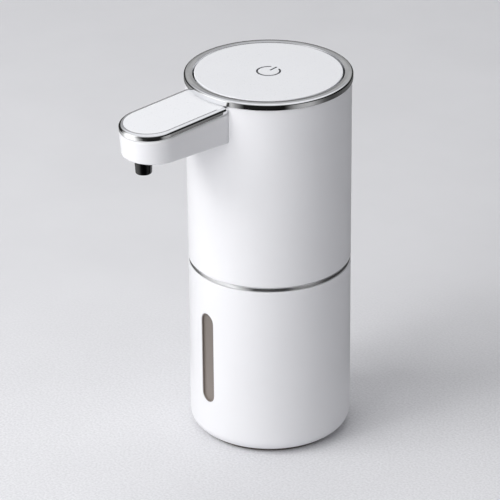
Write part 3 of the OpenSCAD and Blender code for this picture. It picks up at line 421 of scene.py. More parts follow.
def quarter(centre, radius, start, end, steps):
    """Points of an arc about a centre, angles in degrees."""
    angle = np.radians(np.linspace(start, end, steps + 1))
    return np.array(centre) + radius * np.stack([np.cos(angle), np.sin(angle)], -1)


def wall_edge(z, top):
    """Two small arcs over the wall's top edge, outside first, or its bottom edge, inside first."""
    arc_z = z - edge_round if top else z + edge_round
    outside, inside = (wall_r - edge_round, arc_z), (bore_r + edge_round, arc_z)
    arcs = [(outside, 0), (inside, 90)] if top else [(inside, 180), (outside, 270)]
    return np.concatenate([quarter(centre, edge_round, start, start + 90, edge_steps)
                           for centre, start in arcs])


def straight(r, heights):
    """Points of a straight wall at the given heights."""
    return np.stack([r + 0 * heights, heights], -1)


def wall_heights(stops, rows):
    """Heights of a wall's rows: even steps from stop to stop, without the two outermost stops."""
    parts = [np.linspace(low, high, count + 1)[1:] for low, high, count in zip(stops, stops[1:], rows)]
    return np.concatenate(parts)[:-1]


def rows_between(heights, before, over, low, high):
    """Row numbers of two heights on the outer wall and, mirrored, on the inner one. Before and over
    count the outline's points before the outer wall and between the two walls."""
    i, j = (int(np.argmin(abs(heights - z))) for z in (low, high))
    last = before + 2 * len(heights) + over - 1
    return (before + i, before + j), (last - i, last - j)


# %% [markdown]
# ## Bottle sleeve
# The lower half is a white sleeve with a straight wall, a round lower edge and a slot for the
# level window. It is one closed skin: up the outside, over the rim and down the inside.

# %% Sizes of the sleeve
front = 3 * columns // 4
base_round = 6.0 * mm
inner_round = base_round - wall_t
seat_gap, window_gap, slot_margin, slot_edge = 0.05 * mm, 0.1 * mm, 5 * mm, 0.35 * mm
slot_columns = 10
foot_high = box("foot_pad")[1]
seat_r, seat_z = foot_high[0] + seat_gap, foot_high[2]
foot_line = sleeve_low[2]
arc_z = foot_line + base_round
window_z = (lens_low[2] + lens_high[2]) / 2
window_w, window_h = (lens_high - lens_low)[[0, 2]] + window_gap
window_half = (window_h - window_w) / 2
slot_from, slot_to = window_z - window_h / 2 - slot_margin, window_z + window_h / 2 + slot_margin
print("window slot %.2f mm wide, %.2f mm high" % (window_w / mm, window_h / mm))

# %% Sleeve with its window slot
start_angle = -90 + np.degrees(np.arcsin((seat_r - wall_r + base_round) / base_round))
heights = wall_heights((arc_z, slot_from, slot_to, rim_z - edge_round), rows=(4, 24, 4))
lower = np.concatenate([[[0, seat_z], [seat_r, seat_z]],
                        quarter((wall_r - base_round, arc_z), base_round, start_angle, 0, steps=14)])
rim = wall_edge(rim_z, top=True)
inside = np.concatenate([quarter((bore_r - inner_round, arc_z), inner_round, 0, -90, steps=8),
                         [[0, foot_line + wall_t]]])
sleeve_outline = np.concatenate([lower, straight(wall_r, heights), rim,
                                 straight(bore_r, heights[::-1]), inside])
points, faces = turned(sleeve_outline, columns)
slot_block = rows_between(heights, len(lower), len(rim), slot_from, slot_to)
rings = slot_rings(window_half, window_w / 2, slot_edge, wall_t)
points, faces = open_wall(points, faces, columns, *slot_block, (front - slot_columns, front + slot_columns),
                          (-np.pi / 2, window_z), rings, level=False)
add_piece("sleeve", points, faces, white_plastic, "white_plastic", "bottle", "bottle_sleeve")

# %% [markdown]
# ## Window lens, tank and foot
# The lens is a round-ended plate that follows the wall's curve. It is a shallow tray: its rim ends
# just below the wall and its field lies deeper, so that the rim's far side shows as a dark line.
# The same functions make the rubber flap of the charging port and, laid flat, the sensor's lens.

# %% Round-ended plates


def capsule_loop(arcs=24, sides=24):
    """Once round a round-ended outline: where the core point is along its core, from -1 to 1, and
    the direction from it, with the long way first."""
    angle = np.linspace(-np.pi / 2, np.pi / 2, arcs + 1)
    along = np.linspace(1, -1, sides + 1)[1:-1]
    core = np.concatenate([1 + 0 * angle, along, -1 + 0 * angle, -along])
    angles = np.concatenate([angle, np.pi / 2 + 0 * along, angle + np.pi, -np.pi / 2 + 0 * along])
    return core, np.stack([np.cos(angles), np.sin(angles)], -1)


def plate_rings(half, radius, edge, thick):
    """Rings (half length, radius, depth) of a closed plate: from its middle line over a rolled edge
    to its back. The inside rings keep the core's length and only shrink the radius."""
    inward, down = arc_steps(count=6)
    face = np.array([[half, radius * share, 0] for share in (0, 0.3, 0.6, 0.85)])
    face = face[face[:, 1] < radius - edge]
    lip = np.stack([half + 0 * inward, radius - edge * (1 - inward), edge * down], -1)
    rear = np.array([[half, radius * share, thick] for share in (1, 0.5, 0)])
    return np.concatenate([face, lip, rear])


def wall_plate(rings, azimuth, middle_z, surface_r, level):
    """Plate on a round wall: each ring's outline goes onto the cylinder at its depth."""
    core, direction = capsule_loop()
    half, radius, depth = (rings[:, i, None] for i in range(3))
    long_way = core * half + radius * direction[:, 0]
    short_way = radius * direction[:, 1]
    sideways, upward = (long_way, short_way) if level else (short_way, long_way)
    r = surface_r - depth
    angle = azimuth + np.arcsin(sideways / r)
    points = np.stack([r * np.cos(angle), r * np.sin(angle), middle_z + upward], -1)
    return points.reshape(-1, 3), grid_quads(len(rings), len(core))


# %% Lens
lens_recess, lens_rim, lens_field, joint = 0.2, 0.5, 0.9, 0.06
lens_r, lens_t = window_w / 2 / mm - joint, wall_t / mm - lens_recess
field_r = lens_r - lens_rim
tray = rounded([(0, -lens_field, 0), (0.4 * field_r, -lens_field, 0), (0.7 * field_r, -lens_field, 0),
                (field_r, -lens_field, 0.3), (field_r, 0, 0.15), (lens_r, 0, 0.15), (lens_r, -lens_t, 0),
                (0.5 * lens_r, -lens_t, 0), (0, -lens_t, 0)])
lens_rings = np.stack([window_half + 0 * tray[:, 0], tray[:, 0], -tray[:, 1]], -1)
points, faces = wall_plate(lens_rings, -np.pi / 2, window_z, wall_r - lens_recess * mm, level=False)
add_piece("lens", points, faces, window_smoke, "smoke_plastic", "bottle", "window_lens")

# %% Tank and foot
tank_low, tank_high = box("soap_tank")
tank_r, tank_rim, tank_base, tank_wall = tank_high[0] / mm, tank_high[2] / mm, tank_low[2] / mm, 1.6
tank_outline = rounded([(0, tank_base, 0), (tank_r, tank_base, 3.8), (tank_r, tank_rim, 0.5),
                        (tank_r - tank_wall, tank_rim, 0.5), (tank_r - tank_wall, tank_base + tank_wall, 2.2),
                        (0, tank_base + tank_wall, 0)], steps=8)
add_piece("tank", *turned(tank_outline), tank_smoke, "smoke_plastic", "bottle", "soap_tank")

foot_r, foot_top = foot_high[0] / mm, foot_high[2] / mm
groove_r, groove_half, groove_deep = foot_r - 2.4, 0.6, 0.35
foot_outline = rounded([(0, 0, 0), (groove_r - groove_half, 0, 0.4), (groove_r, groove_deep, 0.3),
                        (groove_r + groove_half, 0, 0.3), (foot_r, 0, 0.5), (foot_r, foot_top, 0.2),
                        (0, foot_top, 0)])
add_piece("foot", *turned(foot_outline), foot_rubber, "rubber_black", "bottle", "foot_pad")

# %% [markdown]
# ## Seam ring
# Between bottle and head sits a plated ring, a little behind the wall. It is nearly straight, so
# it mirrors one band of the table; a very slight crown keeps the band from looking cut out.

# %% Seam ring
ring_low, ring_high = box("seam_ring")
ring_r, ring_base, ring_top = ring_high[0] / mm, ring_low[2] / mm, ring_high[2] / mm
crown, crown_round, ring_depth = 0.06, 14.0, 3.9
ring_outline = rounded([(ring_r - ring_depth, ring_base, 0), (ring_r - crown, ring_base, 0.2),
                        (ring_r, (ring_base + ring_top) / 2, crown_round), (ring_r - crown, ring_top, 0.35),
                        (ring_r - ring_depth, ring_top, 0)])
add_piece("seam", *turned(ring_outline), chrome, "chrome", "head", "seam_ring")

# %% [markdown]
# ## Head shell
# The upper half is a plain white tube. At the back it has a shallow recess for the port's flap,
# with the port's own hole in its floor, and at the front an opening for the tube, which the spout
# covers.

# %% Sizes of the port and of the tube's opening
back = columns // 4
flap_low, flap_high = box("port_flap")
flap_w, flap_h = 16.4 * mm, 8.4 * mm
port_z = flap_high[2] - flap_h / 2
recess_gap, recess_deep, recess_edge = 0.4 * mm, 1.5 * mm, 0.3 * mm
recess_r = flap_h / 2 + recess_gap
recess_half = flap_w / 2 + recess_gap - recess_r
hole_r, hole_half, hole_edge, port_margin = 2.08 * mm, 2.89 * mm, 0.2 * mm, 4 * mm
port_from, port_to = port_z - recess_r - port_margin, port_z + recess_r + port_margin
tube_from, tube_to = 164.6 * mm, 172.8 * mm
port_columns, tube_columns = 14, 7
print("recess %.1f mm wide, %.1f mm high" % (2 * (recess_half + recess_r) / mm, 2 * recess_r / mm))

# %% Head shell with its port
heights = wall_heights((head_z + edge_round, port_from, port_to, tube_from, tube_to, bezel_z - edge_round),
                       rows=(3, 16, 11, 8, 3))
lower, upper = wall_edge(head_z, top=False), wall_edge(bezel_z, top=True)
shell_outline = np.concatenate([lower, straight(wall_r, heights), upper, straight(bore_r, heights[::-1])])
points, faces = turned(shell_outline, columns)
lip_in, lip_down = arc_steps(count=4)
into_hole = np.stack([0 * lip_in, hole_half + 0 * lip_in, hole_r + hole_edge * (1 - lip_in),
                      recess_deep + hole_edge * lip_down], -1)
into_port = np.concatenate([slot_rings(recess_half, recess_r, recess_edge, recess_deep), into_hole,
                            [[0, hole_half, hole_r, wall_t]]])
port_block = rows_between(heights, len(lower), len(upper), port_from, port_to)
points, faces = open_wall(points, faces, columns, *port_block, (back - port_columns, back + port_columns),
                          (np.pi / 2, port_z), into_port, level=True)
tube_block = rows_between(heights, len(lower), len(upper), tube_from, tube_to)
points, faces = open_wall(points, faces, columns, *tube_block, (front - tube_columns, front + tube_columns),
                          (-np.pi / 2, (tube_from + tube_to) / 2), np.zeros((0, 4)), level=True)
add_piece("shell", points, faces, white_plastic, "white_plastic", "head", "head_shell")

# %% [markdown]
# ## Port flap
# A small rubber plate closes the charging port. It turns down on a bead along its lower edge, and
# a plug on its inside fills the port. Plate, plug and bead are three closed surfaces in one piece.

# %% Flap, plug and hinge bead


def together(*surfaces):
    """Several surfaces as one array of points and one of faces."""
    starts = np.cumsum([0] + [len(points) for points, faces in surfaces[:-1]])
    return (np.concatenate([points for points, faces in surfaces]),
            np.concatenate([faces + start for start, (points, faces) in zip(starts, surfaces)]))


flap_thick, flap_edge, flap_below = 1.15 * mm, 0.5 * mm, 0.02 * mm
flap_rings = plate_rings(flap_w / 2 - flap_h / 2, flap_h / 2, flap_edge, flap_thick)
flap_plate = wall_plate(flap_rings, np.pi / 2, port_z, wall_r - flap_below, level=True)
plug_half, plug_r, plug_edge, plug_long = 2.7 * mm, 1.1 * mm, 0.35 * mm, 1.4 * mm
plug_rings = plate_rings(plug_half, plug_r, plug_edge, plug_long)
plug_rings[:, 2] = wall_r - flap_low[1] - plug_rings[:, 2]
flap_plug = wall_plate(plug_rings, np.pi / 2, port_z, wall_r, level=True)
bead_r, bead_half, bead_edge, bead_place = 0.5, 4.5, 0.2, np.array([0, 38.3, 108.7]) * mm
bead_outline = rounded([(0, -bead_half, 0), (bead_r, -bead_half, bead_edge), (bead_r, bead_half, bead_edge),
                        (0, bead_half, 0)])
bead_points, bead_faces = turned(bead_outline, columns=32)
flap_bead = bead_points[:, [2, 0, 1]] + bead_place, bead_faces
add_piece("flap", *together(flap_plate, flap_plug, flap_bead), flap_rubber, "silicone", "flap", "port_flap")

# %% [markdown]
# ## Bezel, panel and power mark
# A plated bezel frames the top. Its outer face is upright, its upper edge is well rounded, and
# its slightly domed top falls to a thin gap round the white panel. The panel is the button, and
# it is thin enough to leave room for the press above its seal. The power mark is a broken ring
# and a bar, printed in grey.

# %% Bezel and panel
gap = 0.4
bore, outer, crest, base = panel_r / mm + gap, bezel_r / mm, top_z / mm, bezel_z / mm
bezel_outline = rounded([(bore, base, 0), (outer, base, 0.25), (outer, crest - 0.45, 0.85),
                         (outer - 0.8, crest - 0.15, 1.0), (outer - 2.2, crest, 4),
                         (bore + 0.4, crest - 0.2, 0.1), (bore, crest - 1.3, 0.2)], steps=12)
add_piece("bezel", *turned(bezel_outline, fine_columns), chrome, "chrome", "head", "top_bezel")

panel_gap, panel_sink, panel_deep = 0.1, 0.12, 1.45
panel_edge, panel_top, panel_under = panel_r / mm - panel_gap, crest - panel_sink, crest - panel_deep
panel_outline = rounded([(0, panel_under, 0), (panel_edge, panel_under, 0.2), (panel_edge, panel_top, 0.3),
                         (0, panel_top, 0)], steps=8)
points, faces = turned(panel_outline, fine_columns)
# The panel wears the lighter copy of the white plastic: painted light on a face that looks up.
add_piece("panel", points, faces, top_lit_white_plastic, "white_plastic", "button", "top_panel")

# %% Power mark


def stroke(path, width, base_z, lift):
    """A printed line along a path in plan: across it the points are path + side * half width, and
    the half width falls off to round ends as sqrt(half^2 - (half - distance)^2)."""
    along = np.gradient(path, axis=0)
    side = unit(np.stack([-along[:, 1], along[:, 0]], -1))
    gone = np.concatenate([[0], np.cumsum(np.linalg.norm(np.diff(path, axis=0), axis=1))])
    near = np.minimum(np.minimum(gone, gone[-1] - gone), width / 2)
    half = np.sqrt(np.maximum((width / 2) ** 2 - (width / 2 - near) ** 2, 0))
    across = np.array([-1, -0.85, 0, 0.85, 1, 0.85, 0, -0.85])[:, None]
    height = np.array([0.4, 1, 1, 1, 0.4, 0, 0, 0])[:, None]
    flat = path[None] + side[None] * (across * half)[..., None]
    z = base_z + lift * height + 0 * half
    return np.concatenate([flat, z[..., None]], -1).reshape(-1, 3), grid_quads(8, len(path), True, False)


mark_r, mark_line, mark_gap, mark_way = 5.4 * mm, 0.95 * mm, np.radians(23), np.radians(90 + 12)
bar_from, bar_to = 0.2 * mark_r, 1.17 * mark_r
turn_angle = mark_way + np.linspace(mark_gap, 2 * np.pi - mark_gap, 120)
ring_path = mark_r * np.stack([np.cos(turn_angle), np.sin(turn_angle)], -1)
bar_path = np.linspace(bar_from, bar_to, 40)[:, None] * np.array([np.cos(mark_way), np.sin(mark_way)])
ink_sink, ink_lift = 0.03 * mm, 0.05 * mm
ink_z = panel_top * mm - ink_sink
mark = together(stroke(ring_path, mark_line, ink_z, ink_lift), stroke(bar_path, mark_line, ink_z, ink_lift))
add_piece("mark", *mark, mark_ink, "mark_grey", "button", "power_mark")

# %% [markdown]
# ## Spout
# Seen from above, the spout is two straight sides and a half-round tip. Every piece of it is a
# profile carried round that path: the white body below, the plated trim and the white cover. A
# profile point has an inset from the outer path and a height, which either hangs from the
# sloping top or stands on the level underside.

# %% Carry a profile round the spout
trim_low, trim_high = box("spout_trim")
spout_half = trim_high[0]
spout_tip = -trim_low[1] - spout_half
spout_fall = np.radians(4.3)
top_step, root_gap = 0.25 * mm, 0.05 * mm
spout_top = bezel_z - top_step
under_z = box("spout_body")[0][2]
trim_h, trim_w = 3.2 * mm, 2.1 * mm
root_r = wall_r + root_gap
print("spout reaches %.1f mm from the axis" % ((spout_tip + spout_half) / mm))


def carry(inset, hang, drop, rise, back, closed, sides=24, arcs=65, roots=13):
    """Points of a profile round the spout. Half width h = half - inset; along a side y runs from the
    body's cylinder, -sqrt(root^2 - h^2), to the tip's centre, and round the tip x = h cos a,
    y = -(tip - back) - h sin a. Height = hang * (top(y) - drop) + (1 - hang) * (underside + rise)."""
    spread_out = np.broadcast_arrays(inset, hang, drop, rise, back)
    inset, hang, drop, rise, back = (np.array(part, float)[:, None] for part in spread_out)
    h, tip = spout_half - inset, spout_tip - back
    root = np.sqrt(root_r ** 2 - h ** 2)
    t = np.linspace(0, 1, sides)
    a = np.linspace(0, np.pi, arcs)[1:-1]
    side_y = -(root + (tip - root) * t)
    x = np.concatenate([h + 0 * t, h * np.cos(a), -h + 0 * t], 1)
    y = np.concatenate([side_y, -tip - h * np.sin(a), side_y[:, ::-1]], 1)
    if closed:
        across = -h * np.cos(np.linspace(0, np.pi, roots)[1:-1])
        x = np.concatenate([x, across], 1)
        y = np.concatenate([y, -np.sqrt(root_r ** 2 - across ** 2)], 1)
    top = spout_top + (y + wall_r) * np.tan(spout_fall)
    z = hang * (top - drop) + (1 - hang) * (under_z + rise)
    return np.stack([x, y, z], -1).reshape(-1, 3), x.shape


# %% Spout body
draft, proud, lower_round = 0.8 * mm, 0.15 * mm, 1.2 * mm
down = np.linspace(0, 1, 9)[1:]
curl = np.radians(np.linspace(0, 90, 12))[1:]
inset = np.concatenate([[spout_half, spout_half / 2, proud], proud + 0 * down,
                        proud + lower_round * (1 - np.cos(curl)), [0.6 * spout_half, spout_half]])
hang = np.concatenate([[1, 1, 1], 1 - down, 0 * curl, [0, 0]])
rise = np.concatenate([[0, 0, 0], lower_round + 0 * down, lower_round * (1 - np.sin(curl)), [0, 0]])
set_back = np.concatenate([[0, 0, 0], draft * down, draft + 0 * curl, [draft, draft]])
points, shape = carry(inset, hang, trim_h, rise, set_back, closed=True)
add_piece("spout", points, grid_quads(*shape), white_plastic, "white_plastic", "head", "spout_body")

# %% Plated trim
trim_base, trim_in = trim_h / mm, trim_w / mm
trim_outline = rounded([(trim_in, 0, 0.02), (0, 0, 1.5), (0, 1.65, 2.0), (0.14, trim_base, 0.35),
                        (trim_in, trim_base, 0.1)], steps=10)
points, (rows, stops) = carry(trim_outline[:, 0], 1, trim_outline[:, 1], 0, 0, closed=False)
ends = [list(range(0, rows * stops, stops)), list(range(stops - 1, rows * stops, stops))]
faces = grid_quads(rows, stops, True, False).tolist() + ends
add_piece("trim", points, faces, chrome, "chrome", "head", "spout_trim")

# %% White cover
cover_gap, cover_edge, cover_lift = 0.03 * mm, 0.06 * mm, 0.02 * mm
cover_in, cover_down = trim_w + cover_gap, trim_h - cover_lift
lip_in, lip_down = arc_steps(count=6)
inset = np.concatenate([[spout_half, spout_half / 2], cover_in + cover_edge * (1 - lip_in),
                        [cover_in, spout_half / 2, spout_half]])
drop = np.concatenate([[0, 0], cover_edge * lip_down, 3 * [cover_down]])
points, shape = carry(inset, 1, drop, 0, 0, closed=True)
# The cover wears the lighter copy of the white plastic: painted light on a face that looks up.
add_piece("cover", points, grid_quads(*shape), top_lit_white_plastic, "white_plastic", "head", "spout_cover")

# %% [markdown]
# ## Nozzle and sensor lens
# The nozzle is a short black tube, slightly tapered, with a round lower edge. The dark lens of
# the hand sensor lies in the spout's underside, between nozzle and body.

# %% Nozzle
nozzle_low, nozzle_high = box("nozzle_tip")
nozzle_axis = (0, (nozzle_low[1] + nozzle_high[1]) / 2)
tip_z, seat, flange_r = nozzle_low[2] / mm, under_z / mm, nozzle_high[0] / mm
nozzle_bore, tip_r, neck_r, flange_z, flange_top = 2.6, 3.8, 4.3, seat + 2, seat + 3.4
nozzle_outline = rounded([(nozzle_bore, tip_z, 0.3), (tip_r, tip_z, 0.6), (neck_r, seat, 0),
                          (neck_r, flange_z, 0), (flange_r, flange_z, 0), (flange_r, flange_top, 0),
                          (nozzle_bore, flange_top, 0)])
points, faces = turned(nozzle_outline, columns=96, axis=nozzle_axis)
add_piece("nozzle", points, faces, nozzle_plastic, "rubber_black", "head", "nozzle_tip")

# %% Sensor lens
sensor_low, sensor_high = box("sensor_window")
sensor_r = (sensor_high - sensor_low)[1] / 2
sensor_half = (sensor_high - sensor_low)[0] / 2 - sensor_r
sensor_y = (sensor_low[1] + sensor_high[1]) / 2
sensor_edge, sensor_thick, sensor_proud = 0.25 * mm, 1.0 * mm, 0.12 * mm
core, direction = capsule_loop()
half, radius, depth = plate_rings(sensor_half, sensor_r, sensor_edge, sensor_thick).T[:, :, None]
points = np.stack([core * half + radius * direction[:, 0], sensor_y + radius * direction[:, 1],
                   under_z - sensor_proud + depth + 0 * core], -1)
faces = grid_quads(len(half), len(core))
add_piece("sensor_lens", points.reshape(-1, 3), faces, dark_lens, "dark_lens", "head", "sensor_window")

# %% [markdown]
# ## Inner pieces
# The pump, motor, cell and boards stay as their CAD meshes. They show when the head is lifted or
# the flap is open, or when someone takes the model apart, so each still gets its real finish.

# %% Plain inner finishes
natural = moulded("natural_plastic", (0.66, 0.665, 0.63), (0.72, 0.725, 0.69), (0.4, 0.52), 900, 0.03)
small_white = moulded("small_white", (0.76, 0.765, 0.77), (0.81, 0.815, 0.82), (0.4, 0.5), 1400, 0.02)
silicone = moulded("silicone", (0.60, 0.62, 0.63), (0.68, 0.70, 0.71), (0.35, 0.5), 700, 0.02)
black_rubber = moulded("black_rubber", (0.012, 0.012, 0.013), (0.028, 0.028, 0.030), (0.55, 0.75), 1100, 0.04)
black_plastic = moulded("black_plastic", (0.018, 0.018, 0.020), (0.034, 0.034, 0.037), (0.4, 0.55),
                        1500, 0.03)
ferrite = moulded("ferrite", (0.05, 0.05, 0.052), (0.09, 0.088, 0.085), (0.7, 0.85), 2200, 0.06)
chip_black = moulded("chip_black", (0.020, 0.020, 0.022), (0.040, 0.040, 0.043), (0.5, 0.65), 2600, 0.02)
steel = metal("steel", (0.46, 0.47, 0.48), (0.62, 0.63, 0.64), (0.22, 0.38), 500, 0.004, (1, 1, 0.08))
brass = metal("brass", (0.62, 0.45, 0.18), (0.78, 0.60, 0.28), (0.2, 0.34), 600, 0.004)
print("finishes so far:", len(bpy.data.materials))

# %% [markdown]
# Some inner finishes have a pattern of their own: the windings of the armature, the weave of the
# foam screens, the copper tracks of a board, the cores of a ribbon and the wrap of the cell. Wave
# textures draw them, at the pitch of the real thing.

# %% Patterned inner finishes
waves_per_scale, gloss_scale, band_strength = 20, 800, 0.6


def waves(tree, place, axis, pitch, bend):
    """Bands across an axis, one per pitch in millimetres, from 0 to 1."""
    scale = 2 * np.pi / waves_per_scale / (pitch * mm)
    node = add_node(tree, "TexWave", {"Vector": place, "Scale": scale, "Distortion": bend})
    node.wave_type, node.bands_direction = "BANDS", axis
    return node.outputs["Fac"]


def banded(name, axes, pitch, dark, light, metallic, gloss, bend=0.0, depth=0.05):
    """Bands, or a weave where two axes are given: the higher of two waves is the thread on top."""
    finish, tree, shader, place = new_finish(name)
    height = waves(tree, place, axes[0], pitch, bend)
    if len(axes) == 2:
        top = add_node(tree, "Math", {0: height, 1: waves(tree, place, axes[1], pitch, bend)})
        top.operation = "MAXIMUM"
        height = top.outputs["Value"]
    feed(tree, shader, {"Base Color": two_tone(tree, height, dark, light), "Metallic": metallic,
                        "Roughness": spread(tree, noise(tree, place, gloss_scale), *gloss)})
    bump(tree, shader, height, band_strength, depth)
    return finish


winding = banded("winding", "Z", 0.5, (0.42, 0.17, 0.06), (0.72, 0.36, 0.16), 1.0, (0.25, 0.4), 0.4)
screen_mesh = banded("screen_mesh", "XY", 0.35, (0.06, 0.06, 0.065), (0.60, 0.61, 0.62), 1.0, (0.3, 0.45))
board_green = banded("board_green", "XZ", 2.6, (0.020, 0.105, 0.055), (0.032, 0.145, 0.078), 0.0,
                     (0.3, 0.42), 3.0, 0.01)
ribbon = banded("ribbon", "X", 0.5, (0.52, 0.50, 0.44), (0.70, 0.69, 0.64), 0.0, (0.35, 0.5))
cell_wrap = banded("cell_wrap", "Z", 40, (0.03, 0.12, 0.28), (0.045, 0.16, 0.34), 0.0,
                   (0.25, 0.34), 0.2, 0.004)
wire_sleeve = banded("wire_sleeve", "Y", 6, (0.016, 0.016, 0.018), (0.030, 0.030, 0.032), 0.0,
                     (0.35, 0.5), 1.0, 0.01)
print("finishes in all:", len(bpy.data.materials))

# %% Give the inner pieces their finishes
inner_finishes = {
    natural: "pump_deck dip_tube pump_cover pump_housing eccentric nozzle_elbow switch_stem",
    small_white: "strainer motor_end_bell wobble_plate",
    silicone: "vent_valve suction_tube valve_plate outlet_tube nozzle_seal panel_seal",
    black_rubber: "neck_seal pump_feet diaphragm",
    black_plastic: "cell_cradle button_frame",
    ferrite: "motor_magnets",
    chip_black: "board_chips tact_switch infrared_pair",
    steel: "deck_screws pump_screws motor_can motor_screws motor_shaft crank_pin cell_tabs "
           "board_screws usb_socket spout_screws",
    brass: "motor_bush motor_terminals",
    winding: "armature",
    screen_mesh: "foam_screens",
    board_green: "main_board sensor_board switch_board",
    ribbon: "sensor_ribbon",
    cell_wrap: "battery_cell",
    wire_sleeve: "motor_leads",
}
for finish, names in inner_finishes.items():
    for name in names.split():
        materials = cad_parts[name].data.materials
        materials.clear()
        materials.append(finish)
print("inner pieces dressed:", sum(len(names.split()) for names in inner_finishes.values()))

# %% [markdown]
# ## Floor
# The dispenser stands on a pale table of fine stone. Its grain is sharp at the front of the
# picture and melts away toward the back, as it does behind a lens, so a ramp along the table
# fades it out.

# %% Stone
level_toward = unit(np.array([toward[0], toward[1], 0]))
cloud_size, fleck_size, gloss_size = 14, 850, 130
fleck_range, stone_gloss = (0.915, 1.085), (0.6, 0.75)
blurred_at, sharp_at = -0.17, 0.0
floor_finish, tree, shader, place = new_finish("floor")
cloud = two_tone(tree, noise(tree, place, cloud_size), (0.738, 0.738, 0.757), (0.766, 0.766, 0.785))
fleck = spread(tree, noise(tree, place, fleck_size, 2.0), *fleck_range)
along = add_node(tree, "VectorMath", {0: place, 1: level_toward})
along.operation = "DOT_PRODUCT"
sharp = map_range(tree, along.outputs["Value"], (blurred_at, sharp_at), 0.0, 1.0)
stone = add_node(tree, "MixRGB", {"Fac": sharp, "Color1": cloud, "Color2": fleck})
stone.blend_type = "MULTIPLY"
feed(tree, shader, {"Base Color": stone.outputs["Color"], "Specular IOR Level": 0.25,
                    "Roughness": spread(tree, noise(tree, place, gloss_size), *stone_gloss)})
print("nodes in the stone:", len(tree.nodes))

# %% Floor plane
floor_half = 3.0
floor_corners = floor_half * np.array([[-1, -1, 0], [1, -1, 0], [1, 1, 0], [-1, 1, 0]])
floor_mesh = bpy.data.meshes.new("floor")
floor_mesh.from_pydata(floor_corners.tolist(), [], [(0, 1, 2, 3)])
floor_mesh.materials.append(floor_finish)
floor_plane = new_object("floor", floor_mesh)
print("floor %.0f m wide" % (2 * floor_half))

# %% [markdown]
# ## Lamps
# One large soft lamp stands to the left and gives the shading and the shadow. A second, lower one
# softens the turn of the wall, and a weak one above lifts the back of the table. All three are
# kept out of reflections, because the plating mirrors the cards of the next step instead.

# %% Lamps


def place_from(degrees_left, rise, distance):
    """Point at an angle to the left of the camera, at a rise above the table, both in degrees."""
    a, e = np.radians(degrees_left), np.radians(rise)
    level = np.cos(a) * level_toward - np.sin(a) * right
    return distance * (np.cos(e) * level + np.sin(e) * np.array([0, 0, 1]))


def add_lamp(name, where, size, watts):
    """Square area lamp that faces the middle of the dispenser and isn't mirrored."""
    lamp_data = bpy.data.lights.new(name, "AREA")
    lamp_data.shape = "SQUARE"
    lamp_data.size = size
    lamp_data.energy = watts
    lamp = new_object(name, lamp_data)
    back_axis = unit(where - aim)
    side_axis = unit(np.cross([0, 0, 1], back_axis))
    lamp.matrix_world = pose(np.stack([side_axis, np.cross(back_axis, side_axis), back_axis]), where)
    lamp.visible_glossy = False
    print("%s: %.1f W, %.2f m wide" % (name, watts, size))


add_lamp("key_lamp", place_from(70, 44, 1.6), 0.85, 12.4)
add_lamp("fill_lamp", place_from(43, 22, 2.0), 1.2, 17.2)
add_lamp("top_lamp", place_from(180, 70, 1.6), 1.2, 4.7)

# %% [markdown]
# ## Reflector cards
# Plating shows only what it reflects, so a product photographer stands cards round it: black ones
# in front, white ones on the lamp's side and greys between. Here one card lies round the dispenser
# on the table and one stands round it like a low wall, taller on the white and on the dark side.
# Both glow in a shade that changes softly on the way round: they are painted reflections, glowing cards that
# are no lamps. Only reflections see them, so they neither light the table nor shade it.

# %% Card finish and card maker
way = np.arange(-180, 180, 4)
# The card finish glows with its shade: a painted reflection, not a lamp.
card_finish, tree, shader = new_finish("card")[:3]
shade = add_node(tree, "Attribute", {})
shade.attribute_name = "shade"
feed(tree, shader, {"Base Color": (0, 0, 0, 1), "Specular IOR Level": 0.0,
                    "Emission Color": (1, 1, 1, 1), "Emission Strength": shade.outputs["Fac"]})


def smooth(value, low, high):
    """0 below low, 1 above high and 3 t^2 - 2 t^3 between."""
    t = np.clip((value - low) / (high - low), 0, 1)
    return t * t * (3 - 2 * t)


def mixed(first, second, part):
    """First where part is 0, second where it is 1, and a straight mix between."""
    return first + (second - first) * part


def round_way(*stops):
    """Values on the way round, read off between stops of (degrees, value)."""
    return np.interp(way, *np.array(stops, float).T)


def add_card(name, r, z, shades):
    """A stage piece once round the table, degrees positive to the right of the camera's side: right
    = r sin a, toward = r cos a. Each of its points has a shade."""
    a = np.radians(way)
    where = (r[:, None, None] * (np.sin(a)[:, None] * right + np.cos(a)[:, None] * level_toward)
             + z[..., None] * np.array([0, 0, 1]))
    mesh = bpy.data.meshes.new(name)
    mesh.from_pydata(where.reshape(-1, 3).tolist(), [], grid_quads(len(r), len(way)).tolist())
    values = mesh.attributes.new("shade", "FLOAT", "POINT").data
    values.foreach_set("value", shades.astype(np.float32).ravel())
    mesh.materials.append(card_finish)
    card = new_object(name, mesh)
    card.visible_camera = card.visible_diffuse = card.visible_shadow = card.visible_transmission = False
    print("%s: shades %.3f to %.2f" % (name, shades.min(), shades.max()))


# %% Shades on the way round
# Glow of the cards at each place on the way round: painted reflections for the plating, for the table card
# near and far and for the wall card.
near_shade = round_way((-180, 0.13), (-140, 0.1), (-110, 0.18), (-96, 0.55), (-50, 1.05), (-34, 0.55),
                       (-20, 0.09), (22, 0.05), (32, 0.16), (42, 0.22), (58, 0.22), (66, 0.15),
                       (78, 0.06), (90, 0.04), (130, 0.06), (180, 0.13))
far_shade = round_way((-180, 0.2), (-140, 0.25), (-110, 0.6), (-96, 1.25), (-60, 1.3), (-46, 0.4),
                      (-33, 0.01), (22, 0.005), (32, 0.3), (42, 0.48), (58, 0.5), (66, 0.3),
                      (78, 0.1), (90, 0.06), (130, 0.12), (180, 0.2))
wall_shade = round_way((-180, 0.03), (-140, 0.03), (-118, 0.01), (-104, 0.5), (-94, 1.2), (-60, 1.2),
                       (-46, 0.3), (-33, 0.03), (30, 0.02), (80, 0.02), (100, 0.002), (125, 0.002),
                       (140, 0.03), (180, 0.03))
